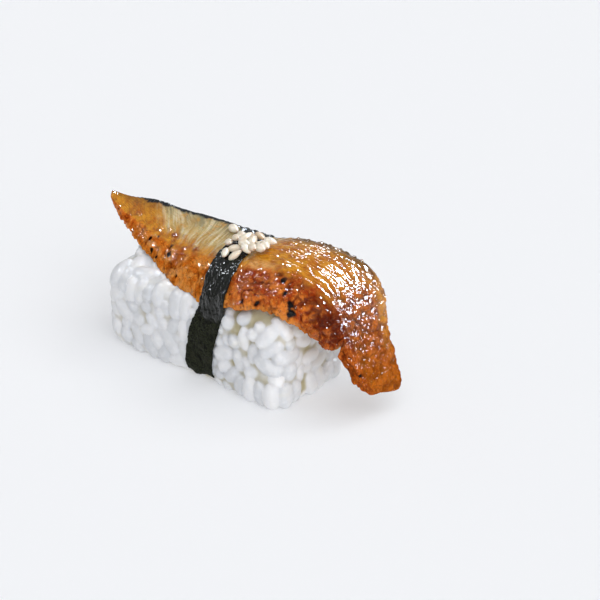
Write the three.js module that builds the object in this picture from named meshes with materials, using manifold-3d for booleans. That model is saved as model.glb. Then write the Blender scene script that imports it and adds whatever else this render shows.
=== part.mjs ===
// Eel nigiri: a finger of pressed rice, a grilled and glazed eel fillet that lies along it and hangs down
// over one end, a band of nori round both, and sesame seeds scattered where the band crosses the top.
// Millimetres, +Z up. +X runs along the piece towards the hanging end, and -Y is the near, browned side.
import * as THREE from 'three';
import { mergeVertices } from 'three/addons/utils/BufferGeometryUtils.js';
import Module from 'manifold-3d';

const wasm = await Module();
wasm.setup();

// ---------------------------------------------------------------- driving dimensions

const GAP = 0.35; // clear space between two neighbouring solids
const BEYOND = 60; // farther out than any point of the piece

// The pressed core under the outer grains: a rounded block that stands flat on its underside.
const CORE = {
  length: 49.2,
  width: 22.0,
  height: 18.6, // where nothing lies on it; under the fillet it rises to meet it
  mostRise: 4.3,
  radius: 4.3,
  middle: -0.6, // along X
  flatten: 1.2, // how much of the rounded underside is pressed flat
  turn: 3, // degrees by which the block lies askew under the fillet
  waist: 0.7, // how far the band of nori pulls each long side in
  cell: 4.2, // side of a cell of its grid
};

// Cooked short-grain rice.
const GRAIN = {
  length: 7.0,
  width: 3.3,
  thickness: 2.9,
  spacing: 3.65, // least distance between the middles of two grains
  tries: 9000, // random spots that are tried for a grain
  lowest: 0.8, // no grain's middle lies lower than this
  uneven: 0.1, // share by which grains are larger or smaller
  // most grains lie on the core and a few stand out of it end on: the least and most that the long axis
  // leaves the surface, in radians, and how far the middle of the grain lies below the surface
  lying: { tilt: [-0.2, 0.2], sunk: 0.15 },
  onEnd: { tilt: [0.9, 1.3], sunk: 2.0, share: 0.12 },
  blunt: 2.8, // 2 is an ellipse, and more is blunter at both ends
  sides: 5,
  rings: 4,
  // what is tried with a grain that would cross the fillet or the band: steps aside, then cuts in length
  moves: { count: 3, step: 0.55 },
  cuts: { count: 2, to: 0.8 },
};

// The fillet is a row of sections, from its raised tip to its hanging end. Each gives the near lower edge,
// the crease where the browned flank turns into the top, and the far upper edge as [x, y, z] from the middle
// of the rice's underside, then how far the top is crowned between crease and far edge, and the thickness.
const FILLET = [
  { near: [-40.1, 3.0, 23.9], crease: [-40.6, 3.2, 25.3], far: [-41.1, 4.3, 26.2], crown: 0.0, thick: 1.3 },
  { near: [-34.9, 0.5, 22.4], crease: [-34.8, 1.6, 24.3], far: [-36.2, 5.2, 26.0], crown: 0.1, thick: 2.5 },
  { near: [-27.4, -2.4, 21.9], crease: [-27.1, 0.0, 24.1], far: [-28.6, 6.2, 27.2], crown: 0.1, thick: 3.8 },
  { near: [-19.8, -5.0, 20.6], crease: [-19.3, -1.6, 23.8], far: [-20.2, 7.0, 27.1], crown: 0.1, thick: 4.8 },
  { near: [-11.2, -7.6, 18.9], crease: [-10.5, -3.2, 24.0], far: [-11.0, 7.5, 27.9], crown: 0.2, thick: 5.6 },
  { near: [-3.0, -9.3, 18.3], crease: [-2.5, -4.0, 25.1], far: [-3.0, 7.8, 28.2], crown: 0.3, thick: 6.2 },
  { near: [5.2, -10.4, 18.3], crease: [4.6, -4.2, 27.0], far: [4.4, 8.3, 27.9], crown: 0.8, thick: 6.6 },
  { near: [13.0, -10.6, 21.0], crease: [12.8, -4.2, 27.8], far: [12.5, 11.4, 28.8], crown: 1.5, thick: 6.6 },
  { near: [20.4, -9.2, 22.1], crease: [20.5, -3.8, 28.6], far: [20.3, 13.2, 28.6], crown: 1.7, thick: 6.2 },
  { near: [26.8, -6.6, 20.4], crease: [27.3, -2.7, 26.8], far: [28.4, 13.8, 27.3], crown: 1.4, thick: 5.6 },
  { near: [31.6, -4.5, 17.2], crease: [32.5, -1.7, 22.7], far: [33.2, 13.4, 23.3], crown: 0.9, thick: 4.8 },
  { near: [35.0, -3.4, 15.4], crease: [35.3, -0.8, 18.4], far: [35.0, 12.7, 17.2], crown: 0.7, thick: 4.2 },
  { near: [37.2, -3.1, 12.6], crease: [37.6, -0.9, 14.4], far: [36.9, 12.0, 12.6], crown: 0.6, thick: 3.8 },
  { near: [39.4, -2.2, 9.4], crease: [40.2, 0.0, 9.0], far: [40.4, 11.0, 7.2], crown: 0.5, thick: 3.2 },
  { near: [40.0, -1.2, 8.0], crease: [40.7, 1.0, 6.9], far: [41.3, 10.2, 4.2], crown: 0.3, thick: 2.6 },
];
const FILLET_STEPS = 56; // sections in the finished loft
// points that follow each guide point of a section: the flank, the top, the far side, the underside
const FLANK_STEPS = [2, 2, 2];
const TOP_STEPS = [3, 3, 3];
const HIDDEN_STEPS = [1, 1, 1, 1, 1, 1];
const CRAG = { depth: 0.42, sizes: [2.6, 5.5] }; // relief of the browned flank
const WAVE = { depth: 0.22, sizes: [4.5, 2.4], tail: [0.72, 0.85] }; // of the top, and finer near the end
const SCALLOP = { depth: 0.55, size: 3.4 }; // how unevenly the flank's lower edge ends
const TUCK = 1.4; // how far the flank's lower edge rolls in under the fillet
const CAP = 0.7; // how far each end of the fillet is domed
// the small tear in the flank's lower edge, where the fillet starts to hang: its share of the length, half
// its width as a share, and its depth
const TEAR = { at: 0.786, reach: 0.016, depth: 1.8 };

// The band of nori, wound over the fillet and down both sides of the rice.
const NORI = {
  width: 7.5,
  thickness: 0.55,
  axisHeight: 11, // the band is measured round a line along X at this height
  endAngle: 127, // each end stops at this angle from straight up, tucked under the block's lower edge
  // where the middle of the band lies along X, from its near end over the top to its far end
  lean: [2.8, 3.6, 6.7, 5.4, 2.8, 0.9, 0.4, 0.3],
  rows: 40,
  columns: 5,
  ripple: { depth: 0.14, size: 3.2 },
};

// White sesame seeds: [x, y, direction of the pointed end in degrees]. Each lies on whatever is below it.
const SEED = { length: 3.3, width: 2.0, thickness: 1.25, sunk: 0.3, taper: 0.35, sides: 6, rings: 4 };
const SEED_STEP = 0.3; // how far a seed that would cross its neighbour node is moved at a time
const SEEDS = [
  [-2.7, 5.3, -14], [1.4, -0.3, -35], [3.9, -3.9, -55], [5.3, -2.1, 24], [2.4, 2.7, -31], [5.3, 2.9, -16],
  [7.1, 3.6, -10], [2.6, 0.8, -27], [6.9, -3.9, 47], [5.0, 1.2, 81], [7.0, -1.0, 0], [8.7, 2.0, 56],
  [8.4, -2.1, -11], [7.6, 0.7, 114], [9.4, -1.3, -29], [11.1, -0.6, -17], [11.0, 1.0, -24], [10.9, 2.7, 12],
];

const FINISH = {
  rice: { color: 0xefece2, roughness: 0.45 },
  eel: { color: 0xb4602a, roughness: 0.3 },
  nori: { color: 0x15190f, roughness: 0.55 },
};

// ---------------------------------------------------------------- helpers

// A repeatable stream of numbers from 0 to 1.
function randomStream(seed) {
  let state = seed >>> 0;
  return () => {
    state = (Math.imul(state, 1664525) + 1013904223) >>> 0;
    return state / 4294967296;
  };
}

// A repeatable number from 0 to 1 for each corner of a grid.
function cornerValue(i, j, k) {
  const mixed = Math.imul(i, 374761393) ^ Math.imul(j, 668265263) ^ Math.imul(k, 2147483647);
  const hashed = Math.imul(mixed ^ (mixed >>> 13), 1274126177);
  return ((hashed ^ (hashed >>> 16)) >>> 0) / 4294967296;
}

// Smooth bumps from -1 to 1, about one for each `size` millimetres.
function bumps(point, size) {
  const x = point.x / size;
  const y = point.y / size;
  const z = point.z / size;
  const [i, j, k] = [Math.floor(x), Math.floor(y), Math.floor(z)];
  const ease = (t) => t * t * (3 - 2 * t);
  const [a, b, c] = [ease(x - i), ease(y - j), ease(z - k)];
  let sum = 0;
  for (const [di, wx] of [[0, 1 - a], [1, a]]) {
    for (const [dj, wy] of [[0, 1 - b], [1, b]]) {
      for (const [dk, wz] of [[0, 1 - c], [1, c]]) {
        sum += wx * wy * wz * cornerValue(i + di, j + dj, k + dk);
      }
    }
  }
  return 2 * sum - 1;
}

function geometryFrom(points, triangles) {
  const geometry = new THREE.BufferGeometry();
  geometry.setAttribute('position', new THREE.Float32BufferAttribute(points.flatMap((p) => p.toArray()), 3));
  geometry.setIndex(triangles);
  return geometry;
}

function solidFrom(geometry) {
  const bare = geometry.clone();
  bare.deleteAttribute('normal');
  bare.deleteAttribute('uv');
  const merged = mergeVertices(bare, 1e-4);
  return new wasm.Manifold(new wasm.Mesh({
    numProp: 3,
    vertProperties: merged.attributes.position.array,
    triVerts: new Uint32Array(merged.index.array),
  }));
}

function geometryOf(solid) {
  const mesh = solid.getMesh();
  const geometry = new THREE.BufferGeometry();
  geometry.setAttribute('position', new THREE.BufferAttribute(new Float32Array(mesh.vertProperties), 3));
  geometry.setIndex(new THREE.BufferAttribute(new Uint32Array(mesh.triVerts), 1));
  return geometry;
}

// Joins small bodies to a big one, fills whatever hollow that seals and drops loose scraps.
function fuse(big, small) {
  const joined = small.reduce((sum, body) => sum.add(body), big);
  return joined.decompose().reduce((best, body) => (body.volume() > best.volume() ? body : best));
}

// Where a ray first meets one of the meshes, or null.
const caster = new THREE.Raycaster();
function firstHit(origin, direction, meshes) {
  caster.set(origin, direction);
  return caster.intersectObjects(meshes, false)[0] ?? null;
}

// Rings of points, each closed on itself, become a closed skin with a domed cap at either end.
function skinOver(rings, capBulge) {
  const around = rings[0].length;
  const points = rings.flat();
  const triangles = [];
  for (let i = 0; i + 1 < rings.length; i++) {
    for (let j = 0; j < around; j++) {
      const a = i * around + j;
      const b = i * around + ((j + 1) % around);
      triangles.push(a, a + around, b, b, a + around, b + around);
    }
  }
  const middleOf = (ring) => ring.reduce((sum, p) => sum.add(p), new THREE.Vector3()).divideScalar(around);
  for (const [end, next, flip] of [[0, 1, true], [rings.length - 1, rings.length - 2, false]]) {
    const middle = middleOf(rings[end]);
    const outward = middle.clone().sub(middleOf(rings[next])).normalize();
    const inner = points.length;
    for (const p of rings[end]) {
      points.push(p.clone().lerp(middle, 0.4).addScaledVector(outward, capBulge));
    }
    points.push(middle.clone().addScaledVector(outward, 1.3 * capBulge));
    const tip = points.length - 1;
    for (let j = 0; j < around; j++) {
      const k = (j + 1) % around;
      const [a, b, c, d] = [end * around + j, end * around + k, inner + j, inner + k];
      const faces = [[a, c, b], [b, c, d], [c, tip, d]];
      faces.forEach((face) => triangles.push(...(flip ? face.reverse() : face)));
    }
  }
  return geometryFrom(points, triangles);
}

// ---------------------------------------------------------------- the eel fillet

const asVectors = (name) => FILLET.map((section) => new THREE.Vector3(...section[name]));
const railOf = (name) => new THREE.CatmullRomCurve3(asVectors(name), false, 'centripetal');
const RAILS = { near: railOf('near'), crease: railOf('crease'), far: railOf('far') };

// A plain number of the sections, eased from one section to the next.
function sectionNumber(name, t) {
  const at = t * (FILLET.length - 1);
  const i = Math.min(Math.floor(at), FILLET.length - 2);
  return THREE.MathUtils.lerp(FILLET[i][name], FILLET[i + 1][name], THREE.MathUtils.smoothstep(at - i, 0, 1));
}

// Where the points of a ring lie on the closed curve through its guide points, from 0 to 1.
const GUIDE_STEPS = [...FLANK_STEPS, ...TOP_STEPS, ...HIDDEN_STEPS];
const RING_PLACES = GUIDE_STEPS.flatMap((steps, guide) =>
  Array.from({ length: steps }, (_, k) => (guide + k / steps) / GUIDE_STEPS.length));

// One section of the fillet as a closed ring: up the flank, over the top, down the far side and back beneath.
function filletRing(t, swell) {
  const near = RAILS.near.getPoint(t);
  const crease = RAILS.crease.getPoint(t);
  const far = RAILS.far.getPoint(t);
  const torn = Math.max(1 - Math.abs(t - TEAR.at) / TEAR.reach, 0);
  const cutBack = TEAR.depth * torn + SCALLOP.depth * bumps(near, SCALLOP.size);
  near.lerp(crease, cutBack / near.distanceTo(crease));
  const along = RAILS.crease.getTangent(t).add(RAILS.far.getTangent(t)).normalize();
  const across = far.clone().sub(crease).normalize();
  const up = across.clone().cross(along).negate().normalize();
  const flankOut = near.clone().sub(crease).cross(along).normalize();
  if (flankOut.dot(across) > 0) flankOut.negate();
  const crown = sectionNumber('crown', t);
  const thick = sectionNumber('thick', t);
  const width = far.distanceTo(crease);
  const flank = near.distanceTo(crease);
  const on = (start, end, share, direction, amount) =>
    start.clone().lerp(end, share).addScaledVector(direction, amount);
  const farLow = far.clone().addScaledVector(up, -thick).addScaledVector(across, -0.06 * width);
  const tuck = Math.min(TUCK, 0.3 * width);
  const nearLow = near.clone().addScaledVector(across, tuck);
  const guides = [
    near,
    on(near, crease, 0.35, flankOut, 0.11 * flank),
    on(near, crease, 0.75, flankOut, 0.09 * flank),
    on(crease, far, 0.08, up, 0.35 * crown),
    on(crease, far, 0.36, up, crown),
    on(crease, far, 0.7, up, 0.9 * crown),
    far,
    on(far, farLow, 0.5, across, 0.12 * thick),
    farLow,
    on(farLow, nearLow, 0.36, up, 0),
    on(farLow, nearLow, 0.7, up, 0),
    nearLow,
  ];
  const curve = new THREE.CatmullRomCurve3(guides, true, 'centripetal');
  const middle = guides.reduce((sum, p) => sum.add(p), new THREE.Vector3()).divideScalar(guides.length);
  return RING_PLACES.map((place) => {
    const outward = curve.getTangent(place).cross(along).normalize();
    const point = curve.getPoint(place);
    if (outward.dot(point.clone().sub(middle)) < 0) outward.negate();
    return point.addScaledVector(outward, swell);
  });
}

// Crags on the browned flank, wrinkles across the hanging end and shallow waves on the top, along the normal.
function roughen(rings) {
  const around = rings[0].length;
  const total = (steps) => steps.reduce((a, b) => a + b);
  const flankEnd = total(FLANK_STEPS);
  const topEnd = flankEnd + total(TOP_STEPS);
  return rings.map((ring, i) => ring.map((point, j) => {
    const before = rings[Math.max(i - 1, 0)][j];
    const after = rings[Math.min(i + 1, rings.length - 1)][j];
    const left = ring[(j + around - 1) % around];
    const right = ring[(j + 1) % around];
    const normal = after.clone().sub(before).cross(right.clone().sub(left)).normalize();
    const tail = THREE.MathUtils.smoothstep(i / rings.length, ...WAVE.tail);
    let rise = 0;
    if (j <= flankEnd || j === around - 1) {
      rise = 0.6 * CRAG.depth * (bumps(point, CRAG.sizes[0]) + bumps(point, CRAG.sizes[1]));
    } else if (j <= topEnd) {
      rise = WAVE.depth * (bumps(point, WAVE.sizes[0]) + tail * bumps(point, WAVE.sizes[1]));
    }
    return point.clone().addScaledVector(normal, -rise);
  }));
}

function filletRings(steps, swell) {
  return Array.from({ length: steps + 1 }, (_, i) => filletRing(i / steps, swell));
}

// The space that the fillet and a clear gap round it take up, in fewer steps.
function roomForFillet(gap) {
  return skinOver(filletRings(FILLET_STEPS / 2, CRAG.depth + gap), CAP + CRAG.depth + gap);
}

// ---------------------------------------------------------------- the rice core

// How far the core rises at a place to meet the fillet that lies over it, evened out over a few millimetres.
function riseToMeet(fillet, x, y) {
  const up = new THREE.Vector3(0, 0, 1);
  const reach = [-2.4, -1.2, 0, 1.2, 2.4];
  const rises = reach.flatMap((dx) => reach.map((dy) => {
    const hit = firstHit(new THREE.Vector3(x + dx, y + dy, 0.5 * CORE.height), up, [fillet]);
    return hit ? THREE.MathUtils.clamp(hit.point.z - CORE.height, 0, CORE.mostRise) : 0;
  }));
  return rises.reduce((a, b) => a + b) / rises.length;
}

// A box whose edges are rounded, whose long sides are pulled in a little under the band, and whose top
// meets the fillet.
function coreGeometry(fillet) {
  const { length, width, height, radius, middle, flatten, turn, waist, cell } = CORE;
  const size = new THREE.Vector3(length, width, height + flatten);
  const cells = size.toArray().map((side) => Math.round(side / cell));
  const box = new THREE.BoxGeometry(...size.toArray(), ...cells);
  const half = size.clone().multiplyScalar(0.5);
  const flat = half.clone().subScalar(radius);
  const at = box.attributes.position;
  for (let i = 0; i < at.count; i++) {
    const corner = new THREE.Vector3().fromBufferAttribute(at, i);
    const inner = corner.clone().clamp(flat.clone().negate(), flat);
    const point = inner.clone().add(corner.sub(inner).setLength(radius));
    const pull = waist * Math.exp(-(((point.x - NORI.lean[0]) / NORI.width) ** 2));
    point.y -= pull * point.y / half.y;
    const level = THREE.MathUtils.clamp(point.z / half.z, 0, 1);
    point.z = Math.max(point.z + half.z - flatten, 0);
    point.x += middle;
    point.applyAxisAngle(new THREE.Vector3(0, 0, 1), THREE.MathUtils.degToRad(turn));
    if (level > 0) point.z += level * riseToMeet(fillet, point.x, point.y);
    at.setXYZ(i, ...point);
  }
  return box;
}

// A unit sphere whose poles lie on the Z axis.
function bareSphere(sides, rings) {
  const sphere = new THREE.SphereGeometry(1, sides, rings).rotateX(Math.PI / 2);
  sphere.deleteAttribute('normal');
  sphere.deleteAttribute('uv');
  return sphere;
}

// ---------------------------------------------------------------- the band of nori

// The middle of the band along X, at a share from its near end to its far end.
function bandMiddle(share) {
  const at = share * (NORI.lean.length - 1);
  const i = Math.min(Math.floor(at), NORI.lean.length - 2);
  return THREE.MathUtils.lerp(NORI.lean[i], NORI.lean[i + 1], THREE.MathUtils.smoothstep(at - i, 0, 1));
}

// How far out each point of the band lies from its axis, when it is pulled taut over what it is wound round.
function bandReach(supports) {
  const { rows, columns, width, endAngle, axisHeight } = NORI;
  const places = [];
  for (let i = 0; i <= rows; i++) {
    const angle = THREE.MathUtils.degToRad(endAngle * (2 * i / rows - 1));
    const outward = new THREE.Vector3(0, Math.sin(angle), Math.cos(angle));
    const row = [];
    for (let j = 0; j <= columns; j++) {
      const x = bandMiddle(i / rows) + width * (j / columns - 0.5);
      const axis = new THREE.Vector3(x, 0, axisHeight);
      const from = axis.clone().addScaledVector(outward, BEYOND);
      const { distance } = firstHit(from, outward.clone().negate(), supports);
      row.push({ axis, outward, reach: BEYOND - distance });
    }
    places.push(row);
  }
  const around = (grid, i, j) => {
    const values = [];
    for (let di = -1; di <= 1; di++) {
      for (let dj = -1; dj <= 1; dj++) {
        const row = grid[THREE.MathUtils.clamp(i + di, 0, rows)];
        values.push(row[THREE.MathUtils.clamp(j + dj, 0, columns)]);
      }
    }
    return values;
  };
  let reach = places.map((row) => row.map((place) => place.reach));
  reach = reach.map((row, i) => row.map((_, j) => Math.max(...around(reach, i, j))));
  reach = reach.map((row, i) => row.map((_, j) => around(reach, i, j).reduce((a, b) => a + b) / 9));
  places.forEach((row, i) => row.forEach((place, j) => { place.reach = reach[i][j]; }));
  return places;
}

// The band as a closed thin sheet: the same triangles on both faces, and a rim all round.
function bandGeometry(places, margin) {
  const { rows, columns } = NORI;
  const points = [];
  const index = [];
  for (const layer of [0, 1]) {
    places.forEach((row) => row.forEach(({ axis, outward, reach }) => {
      const here = axis.clone().addScaledVector(outward, reach);
      const ripple = NORI.ripple.depth * (1 + bumps(here, NORI.ripple.size));
      const lift = layer ? GAP + ripple + NORI.thickness + margin : GAP + ripple - margin;
      points.push(here.addScaledVector(outward, lift));
    }));
  }
  const at = (layer, i, j) => layer * (rows + 1) * (columns + 1) + i * (columns + 1) + j;
  for (let i = 0; i < rows; i++) {
    for (let j = 0; j < columns; j++) {
      const [a, b, c, d] = [at(1, i, j), at(1, i, j + 1), at(1, i + 1, j), at(1, i + 1, j + 1)];
      const drop = at(1, 0, 0);
      index.push(a, b, c, b, d, c);
      index.push(a - drop, c - drop, b - drop, b - drop, c - drop, d - drop);
    }
  }
  const wall = (i0, j0, i1, j1) => {
    const [a, b, c, d] = [at(1, i0, j0), at(1, i1, j1), at(0, i0, j0), at(0, i1, j1)];
    index.push(a, c, b, b, c, d);
  };
  for (let j = 0; j < columns; j++) {
    wall(0, j, 0, j + 1);
    wall(rows, j + 1, rows, j);
  }
  for (let i = 0; i < rows; i++) {
    wall(i + 1, 0, i, 0);
    wall(i, columns, i + 1, columns);
  }
  return geometryFrom(points, index);
}

// ---------------------------------------------------------------- grains and seeds

// A pose matrix: the unit sphere's pole along `long`, its thin side towards `out`, stretched to `size`.
function poseOf(middle, long, out, size) {
  const [length, width, thickness] = size;
  const side = out.clone().cross(long).normalize();
  const thin = long.clone().cross(side);
  return new THREE.Matrix4().makeBasis(side, thin, long)
    .multiply(new THREE.Matrix4().makeScale(width / 2, thickness / 2, length / 2))
    .setPosition(middle);
}

// Evenly spread spots for grains on the sides and top of the core, by taking random ones and refusing any
// that are too near an earlier one.
function spotsOn(geometry, random) {
  const at = geometry.attributes.position;
  const index = geometry.index;
  const faces = [];
  let total = 0;
  for (let i = 0; i < index.count; i += 3) {
    const [a, b, c] = [0, 1, 2].map((k) => new THREE.Vector3().fromBufferAttribute(at, index.getX(i + k)));
    const triangle = new THREE.Triangle(a, b, c);
    total += triangle.getArea();
    faces.push({ triangle, upTo: total });
  }
  const spots = [];
  for (let n = 0; n < GRAIN.tries; n++) {
    const pick = random() * total;
    const { triangle } = faces.find((face) => face.upTo >= pick);
    let [u, v] = [random(), random()];
    if (u + v > 1) [u, v] = [1 - u, 1 - v];
    const { a, b, c } = triangle;
    const place = a.clone().addScaledVector(b.clone().sub(a), u).addScaledVector(c.clone().sub(a), v);
    const out = triangle.getNormal(new THREE.Vector3());
    const underneath = place.z < GRAIN.lowest || out.z < -0.75;
    if (underneath) continue;
    if (spots.every((spot) => spot.place.distanceTo(place) > GRAIN.spacing)) spots.push({ place, out });
  }
  return spots;
}

// A grain is an ellipsoid with blunt ends.
function grainShape() {
  const shape = bareSphere(GRAIN.sides, GRAIN.rings);
  const at = shape.attributes.position;
  for (let i = 0; i < at.count; i++) {
    const z = at.getZ(i);
    const round = Math.sqrt(Math.max(1 - z * z, 1e-9));
    const widen = Math.max(1 - Math.abs(z) ** GRAIN.blunt, 0) ** (1 / GRAIN.blunt) / round;
    at.setXYZ(i, at.getX(i) * widen, at.getY(i) * widen, z);
  }
  return shape;
}

// Grains of rice lying on the core. One that would cross the fillet or the band is moved along and down,
// then shortened, and is left out if that does not help.
function grainsOn(core, keepOut) {
  const random = randomStream(20);
  const between = (low, high) => low + (high - low) * random();
  const shape = grainShape();
  const grains = [];
  for (const { place, out } of spotsOn(geometryOf(core), random)) {
    const anyWay = new THREE.Vector3(between(-1, 1), between(-1, 1), between(-1, 1)).cross(out).normalize();
    const { tilt: tilts, sunk } = random() < GRAIN.onEnd.share ? GRAIN.onEnd : GRAIN.lying;
    const tilt = between(...tilts);
    const long = anyWay.multiplyScalar(Math.cos(tilt)).addScaledVector(out, Math.sin(tilt));
    const plump = between(1 - GRAIN.uneven, 1 + GRAIN.uneven);
    const size = [GRAIN.length, GRAIN.width, GRAIN.thickness].map((value) => value * plump);
    const away = new THREE.Vector3(Math.sign(place.x - NORI.lean[0]), 0, -1);
    const middle = place.clone().addScaledVector(out, -sunk);
    for (let attempt = 0; attempt <= GRAIN.moves.count + GRAIN.cuts.count; attempt++) {
      const grain = solidFrom(shape.clone().applyMatrix4(poseOf(middle, long, out, size)));
      if (grain.intersect(keepOut).isEmpty()) {
        grains.push(grain);
        break;
      }
      if (attempt < GRAIN.moves.count) middle.addScaledVector(away, GRAIN.moves.step);
      else size[0] *= GRAIN.cuts.to;
    }
  }
  return grains;
}

// A seed is a flat drop: an ellipsoid drawn out to a point at one end of its long axis.
function seedShape() {
  const shape = bareSphere(SEED.sides, SEED.rings);
  const at = shape.attributes.position;
  for (let i = 0; i < at.count; i++) {
    const z = at.getZ(i);
    const taper = z > 0 ? 1 - SEED.taper * z : 1;
    at.setXYZ(i, at.getX(i) * taper, at.getY(i) * taper, z);
  }
  return shape;
}

// Lays each seed on the highest thing below it, and gives it to the node that thing belongs to. One that
// would cross the other node is moved along X, away from the middle of the band.
function layUpSeeds(meshes, roomOfOther) {
  const up = new THREE.Vector3(0, 0, 1);
  const down = up.clone().negate();
  const shape = seedShape();
  const size = [SEED.length, SEED.width, SEED.thickness];
  const laid = [];
  const supports = Object.entries(meshes).map(([owner, mesh]) => Object.assign(mesh, { owner }));
  for (const [x, y, turn] of SEEDS) {
    const heading = THREE.MathUtils.degToRad(turn);
    const step = SEED_STEP * Math.sign(x - bandMiddle(0.5));
    for (let moved = 0; Math.abs(moved) < SEED.length; moved += step) {
      const { point, face, object } = firstHit(new THREE.Vector3(x + moved, y, BEYOND), down, supports);
      const out = face.normal.clone().lerp(up, 0.6).normalize();
      const long = new THREE.Vector3(Math.cos(heading), Math.sin(heading), 0).projectOnPlane(out).normalize();
      const middle = point.clone().addScaledVector(out, SEED.thickness / 2 - SEED.sunk);
      const geometry = shape.clone().applyMatrix4(poseOf(middle, long, out, size));
      const solid = solidFrom(geometry);
      const { owner } = object;
      if (!solid.intersect(roomOfOther[owner]).isEmpty()) continue;
      supports.push(Object.assign(new THREE.Mesh(geometry), { owner }));
      laid.push({ owner, solid });
      break;
    }
  }
  return (owner) => laid.filter((seed) => seed.owner === owner).map((seed) => seed.solid);
}

// ---------------------------------------------------------------- assembly

const eelBare = skinOver(roughen(filletRings(FILLET_STEPS, 0)), CAP);
const eelMesh = new THREE.Mesh(eelBare);
const eelRoom = solidFrom(roomForFillet(GAP));
const core = solidFrom(coreGeometry(eelMesh)).subtract(eelRoom);

const places = bandReach([eelMesh, new THREE.Mesh(geometryOf(core))]);
const noriBare = bandGeometry(places, 0);
const noriMesh = new THREE.Mesh(noriBare);
const noriRoom = solidFrom(bandGeometry(places, GAP));

const seedsOn = layUpSeeds(
  { eel: eelMesh, nori: noriMesh },
  { eel: noriRoom, nori: solidFrom(roomForFillet(0)) },
);
const grains = grainsOn(core, eelRoom.add(noriRoom));
const belowFloor = solidFrom(
  new THREE.BoxGeometry(2 * BEYOND, 2 * BEYOND, BEYOND).translate(0, 0, -BEYOND / 2),
);
const solids = {
  rice: fuse(core, grains).subtract(belowFloor),
  eel: fuse(solidFrom(eelBare), seedsOn('eel')),
  nori: fuse(solidFrom(noriBare), seedsOn('nori')),
};

const nigiri = new THREE.Group();
for (const [name, solid] of Object.entries(solids)) {
  const geometry = geometryOf(solid);
  geometry.computeVertexNormals();
  const mesh = new THREE.Mesh(geometry, new THREE.MeshStandardMaterial({ metalness: 0, ...FINISH[name] }));
  mesh.name = name;
  nigiri.add(mesh);
}

// The piece stands on its underside, with its origin below the middle of its whole outline.
const middle = new THREE.Box3().setFromObject(nigiri).getCenter(new THREE.Vector3());
nigiri.position.set(-middle.x, -middle.y, 0);

export default nigiri;
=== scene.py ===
# %% [markdown]
# # Eel nigiri
#
# A finger of pressed rice carries a long fillet of grilled, glazed eel that hangs down over one end. A band
# of nori is wound round both, and white sesame lies where the band crosses the top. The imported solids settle
# its sizes and places. This script dresses them: each piece is built again with the relief, grains and
# finish of the real food, in the space that its solid holds.

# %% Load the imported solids
import math

import bpy
import numpy as np
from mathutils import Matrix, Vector
from mathutils.bvhtree import BVHTree


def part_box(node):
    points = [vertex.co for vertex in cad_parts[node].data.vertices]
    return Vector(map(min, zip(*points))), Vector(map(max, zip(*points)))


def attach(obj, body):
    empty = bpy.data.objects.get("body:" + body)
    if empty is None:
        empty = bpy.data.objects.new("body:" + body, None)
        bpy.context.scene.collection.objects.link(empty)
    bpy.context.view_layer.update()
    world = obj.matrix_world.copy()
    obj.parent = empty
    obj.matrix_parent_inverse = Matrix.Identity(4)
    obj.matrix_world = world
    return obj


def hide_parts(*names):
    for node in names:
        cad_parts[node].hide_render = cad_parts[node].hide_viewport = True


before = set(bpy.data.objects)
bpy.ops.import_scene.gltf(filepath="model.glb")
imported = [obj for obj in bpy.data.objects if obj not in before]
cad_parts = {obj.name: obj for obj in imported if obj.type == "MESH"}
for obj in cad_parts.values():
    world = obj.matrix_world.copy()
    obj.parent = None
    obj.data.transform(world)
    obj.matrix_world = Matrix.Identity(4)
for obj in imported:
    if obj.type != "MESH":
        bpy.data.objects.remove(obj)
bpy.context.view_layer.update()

print("solids:", sorted(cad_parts))

# %% [markdown]
# ## Working in millimetres
#
# Food is small, so every shape below is worked out in millimetres, measured from the middle of the rice's
# underside. The fillet is the piece whose outline is known best, so once its shape is made, the offset to
# the frame is read from its solid's box, and `make_piece` adds that offset and turns millimetres into
# metres.

# %% Helpers that turn points and faces into a piece
MM = 0.001
offset = np.zeros(3)


def unit(vectors):
    """The same directions with a length of one."""
    return vectors / np.maximum(np.linalg.norm(vectors, axis=-1, keepdims=True), 1e-9)


def grid_faces(rows, columns, start=0, loop=False):
    """Quads between the points of a grid that is listed row by row, closed round each row if it is a loop."""
    i = np.arange(rows - 1)[:, None]
    j = np.arange(columns if loop else columns - 1)[None]
    right = (j + 1) % columns
    row, next_row = i * columns, (i + 1) * columns
    quads = np.stack([row + j, next_row + j, next_row + right, row + right], -1)
    return start + quads.reshape(-1, 4)


def make_piece(name, points, faces, finish, numbers):
    """A smooth mesh that rides on the nigiri, with numbers kept for its points as named attributes."""
    mesh = bpy.data.meshes.new(name)
    mesh.from_pydata(((points + offset) * MM).tolist(), [], [list(map(int, face)) for face in faces])
    mesh.shade_smooth()
    for key, values in numbers.items():
        mesh.attributes.new(key, "FLOAT", "POINT").data.foreach_set("value", np.asarray(values, np.float32))
    mesh.materials.append(finish)
    piece = bpy.data.objects.new(name, mesh)
    bpy.context.scene.collection.objects.link(piece)
    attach(piece, "root")
    print(name, len(mesh.vertices), "points", sum(len(face) - 2 for face in faces), "triangles")
    return piece


def tree_of(points, faces):
    """A search tree over a mesh in millimetres, for rays and for nearest points."""
    return BVHTree.FromPolygons(points.tolist(), [list(map(int, face)) for face in faces])


# %% [markdown]
# ## Relief from noise
#
# Grilled flesh, pressed rice and seaweed are all uneven in ways that no ruler draws. Noise gives that
# without any picture: each corner of an endless grid gets a fixed random slope, and the slopes are blended
# smoothly. Stretching the points before asking for noise draws it out into fibres or streaks, and folding
# it at zero turns its round bumps into sharp furrows. Blisters are made another way, from the distance to
# the nearest of many scattered spots.

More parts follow.
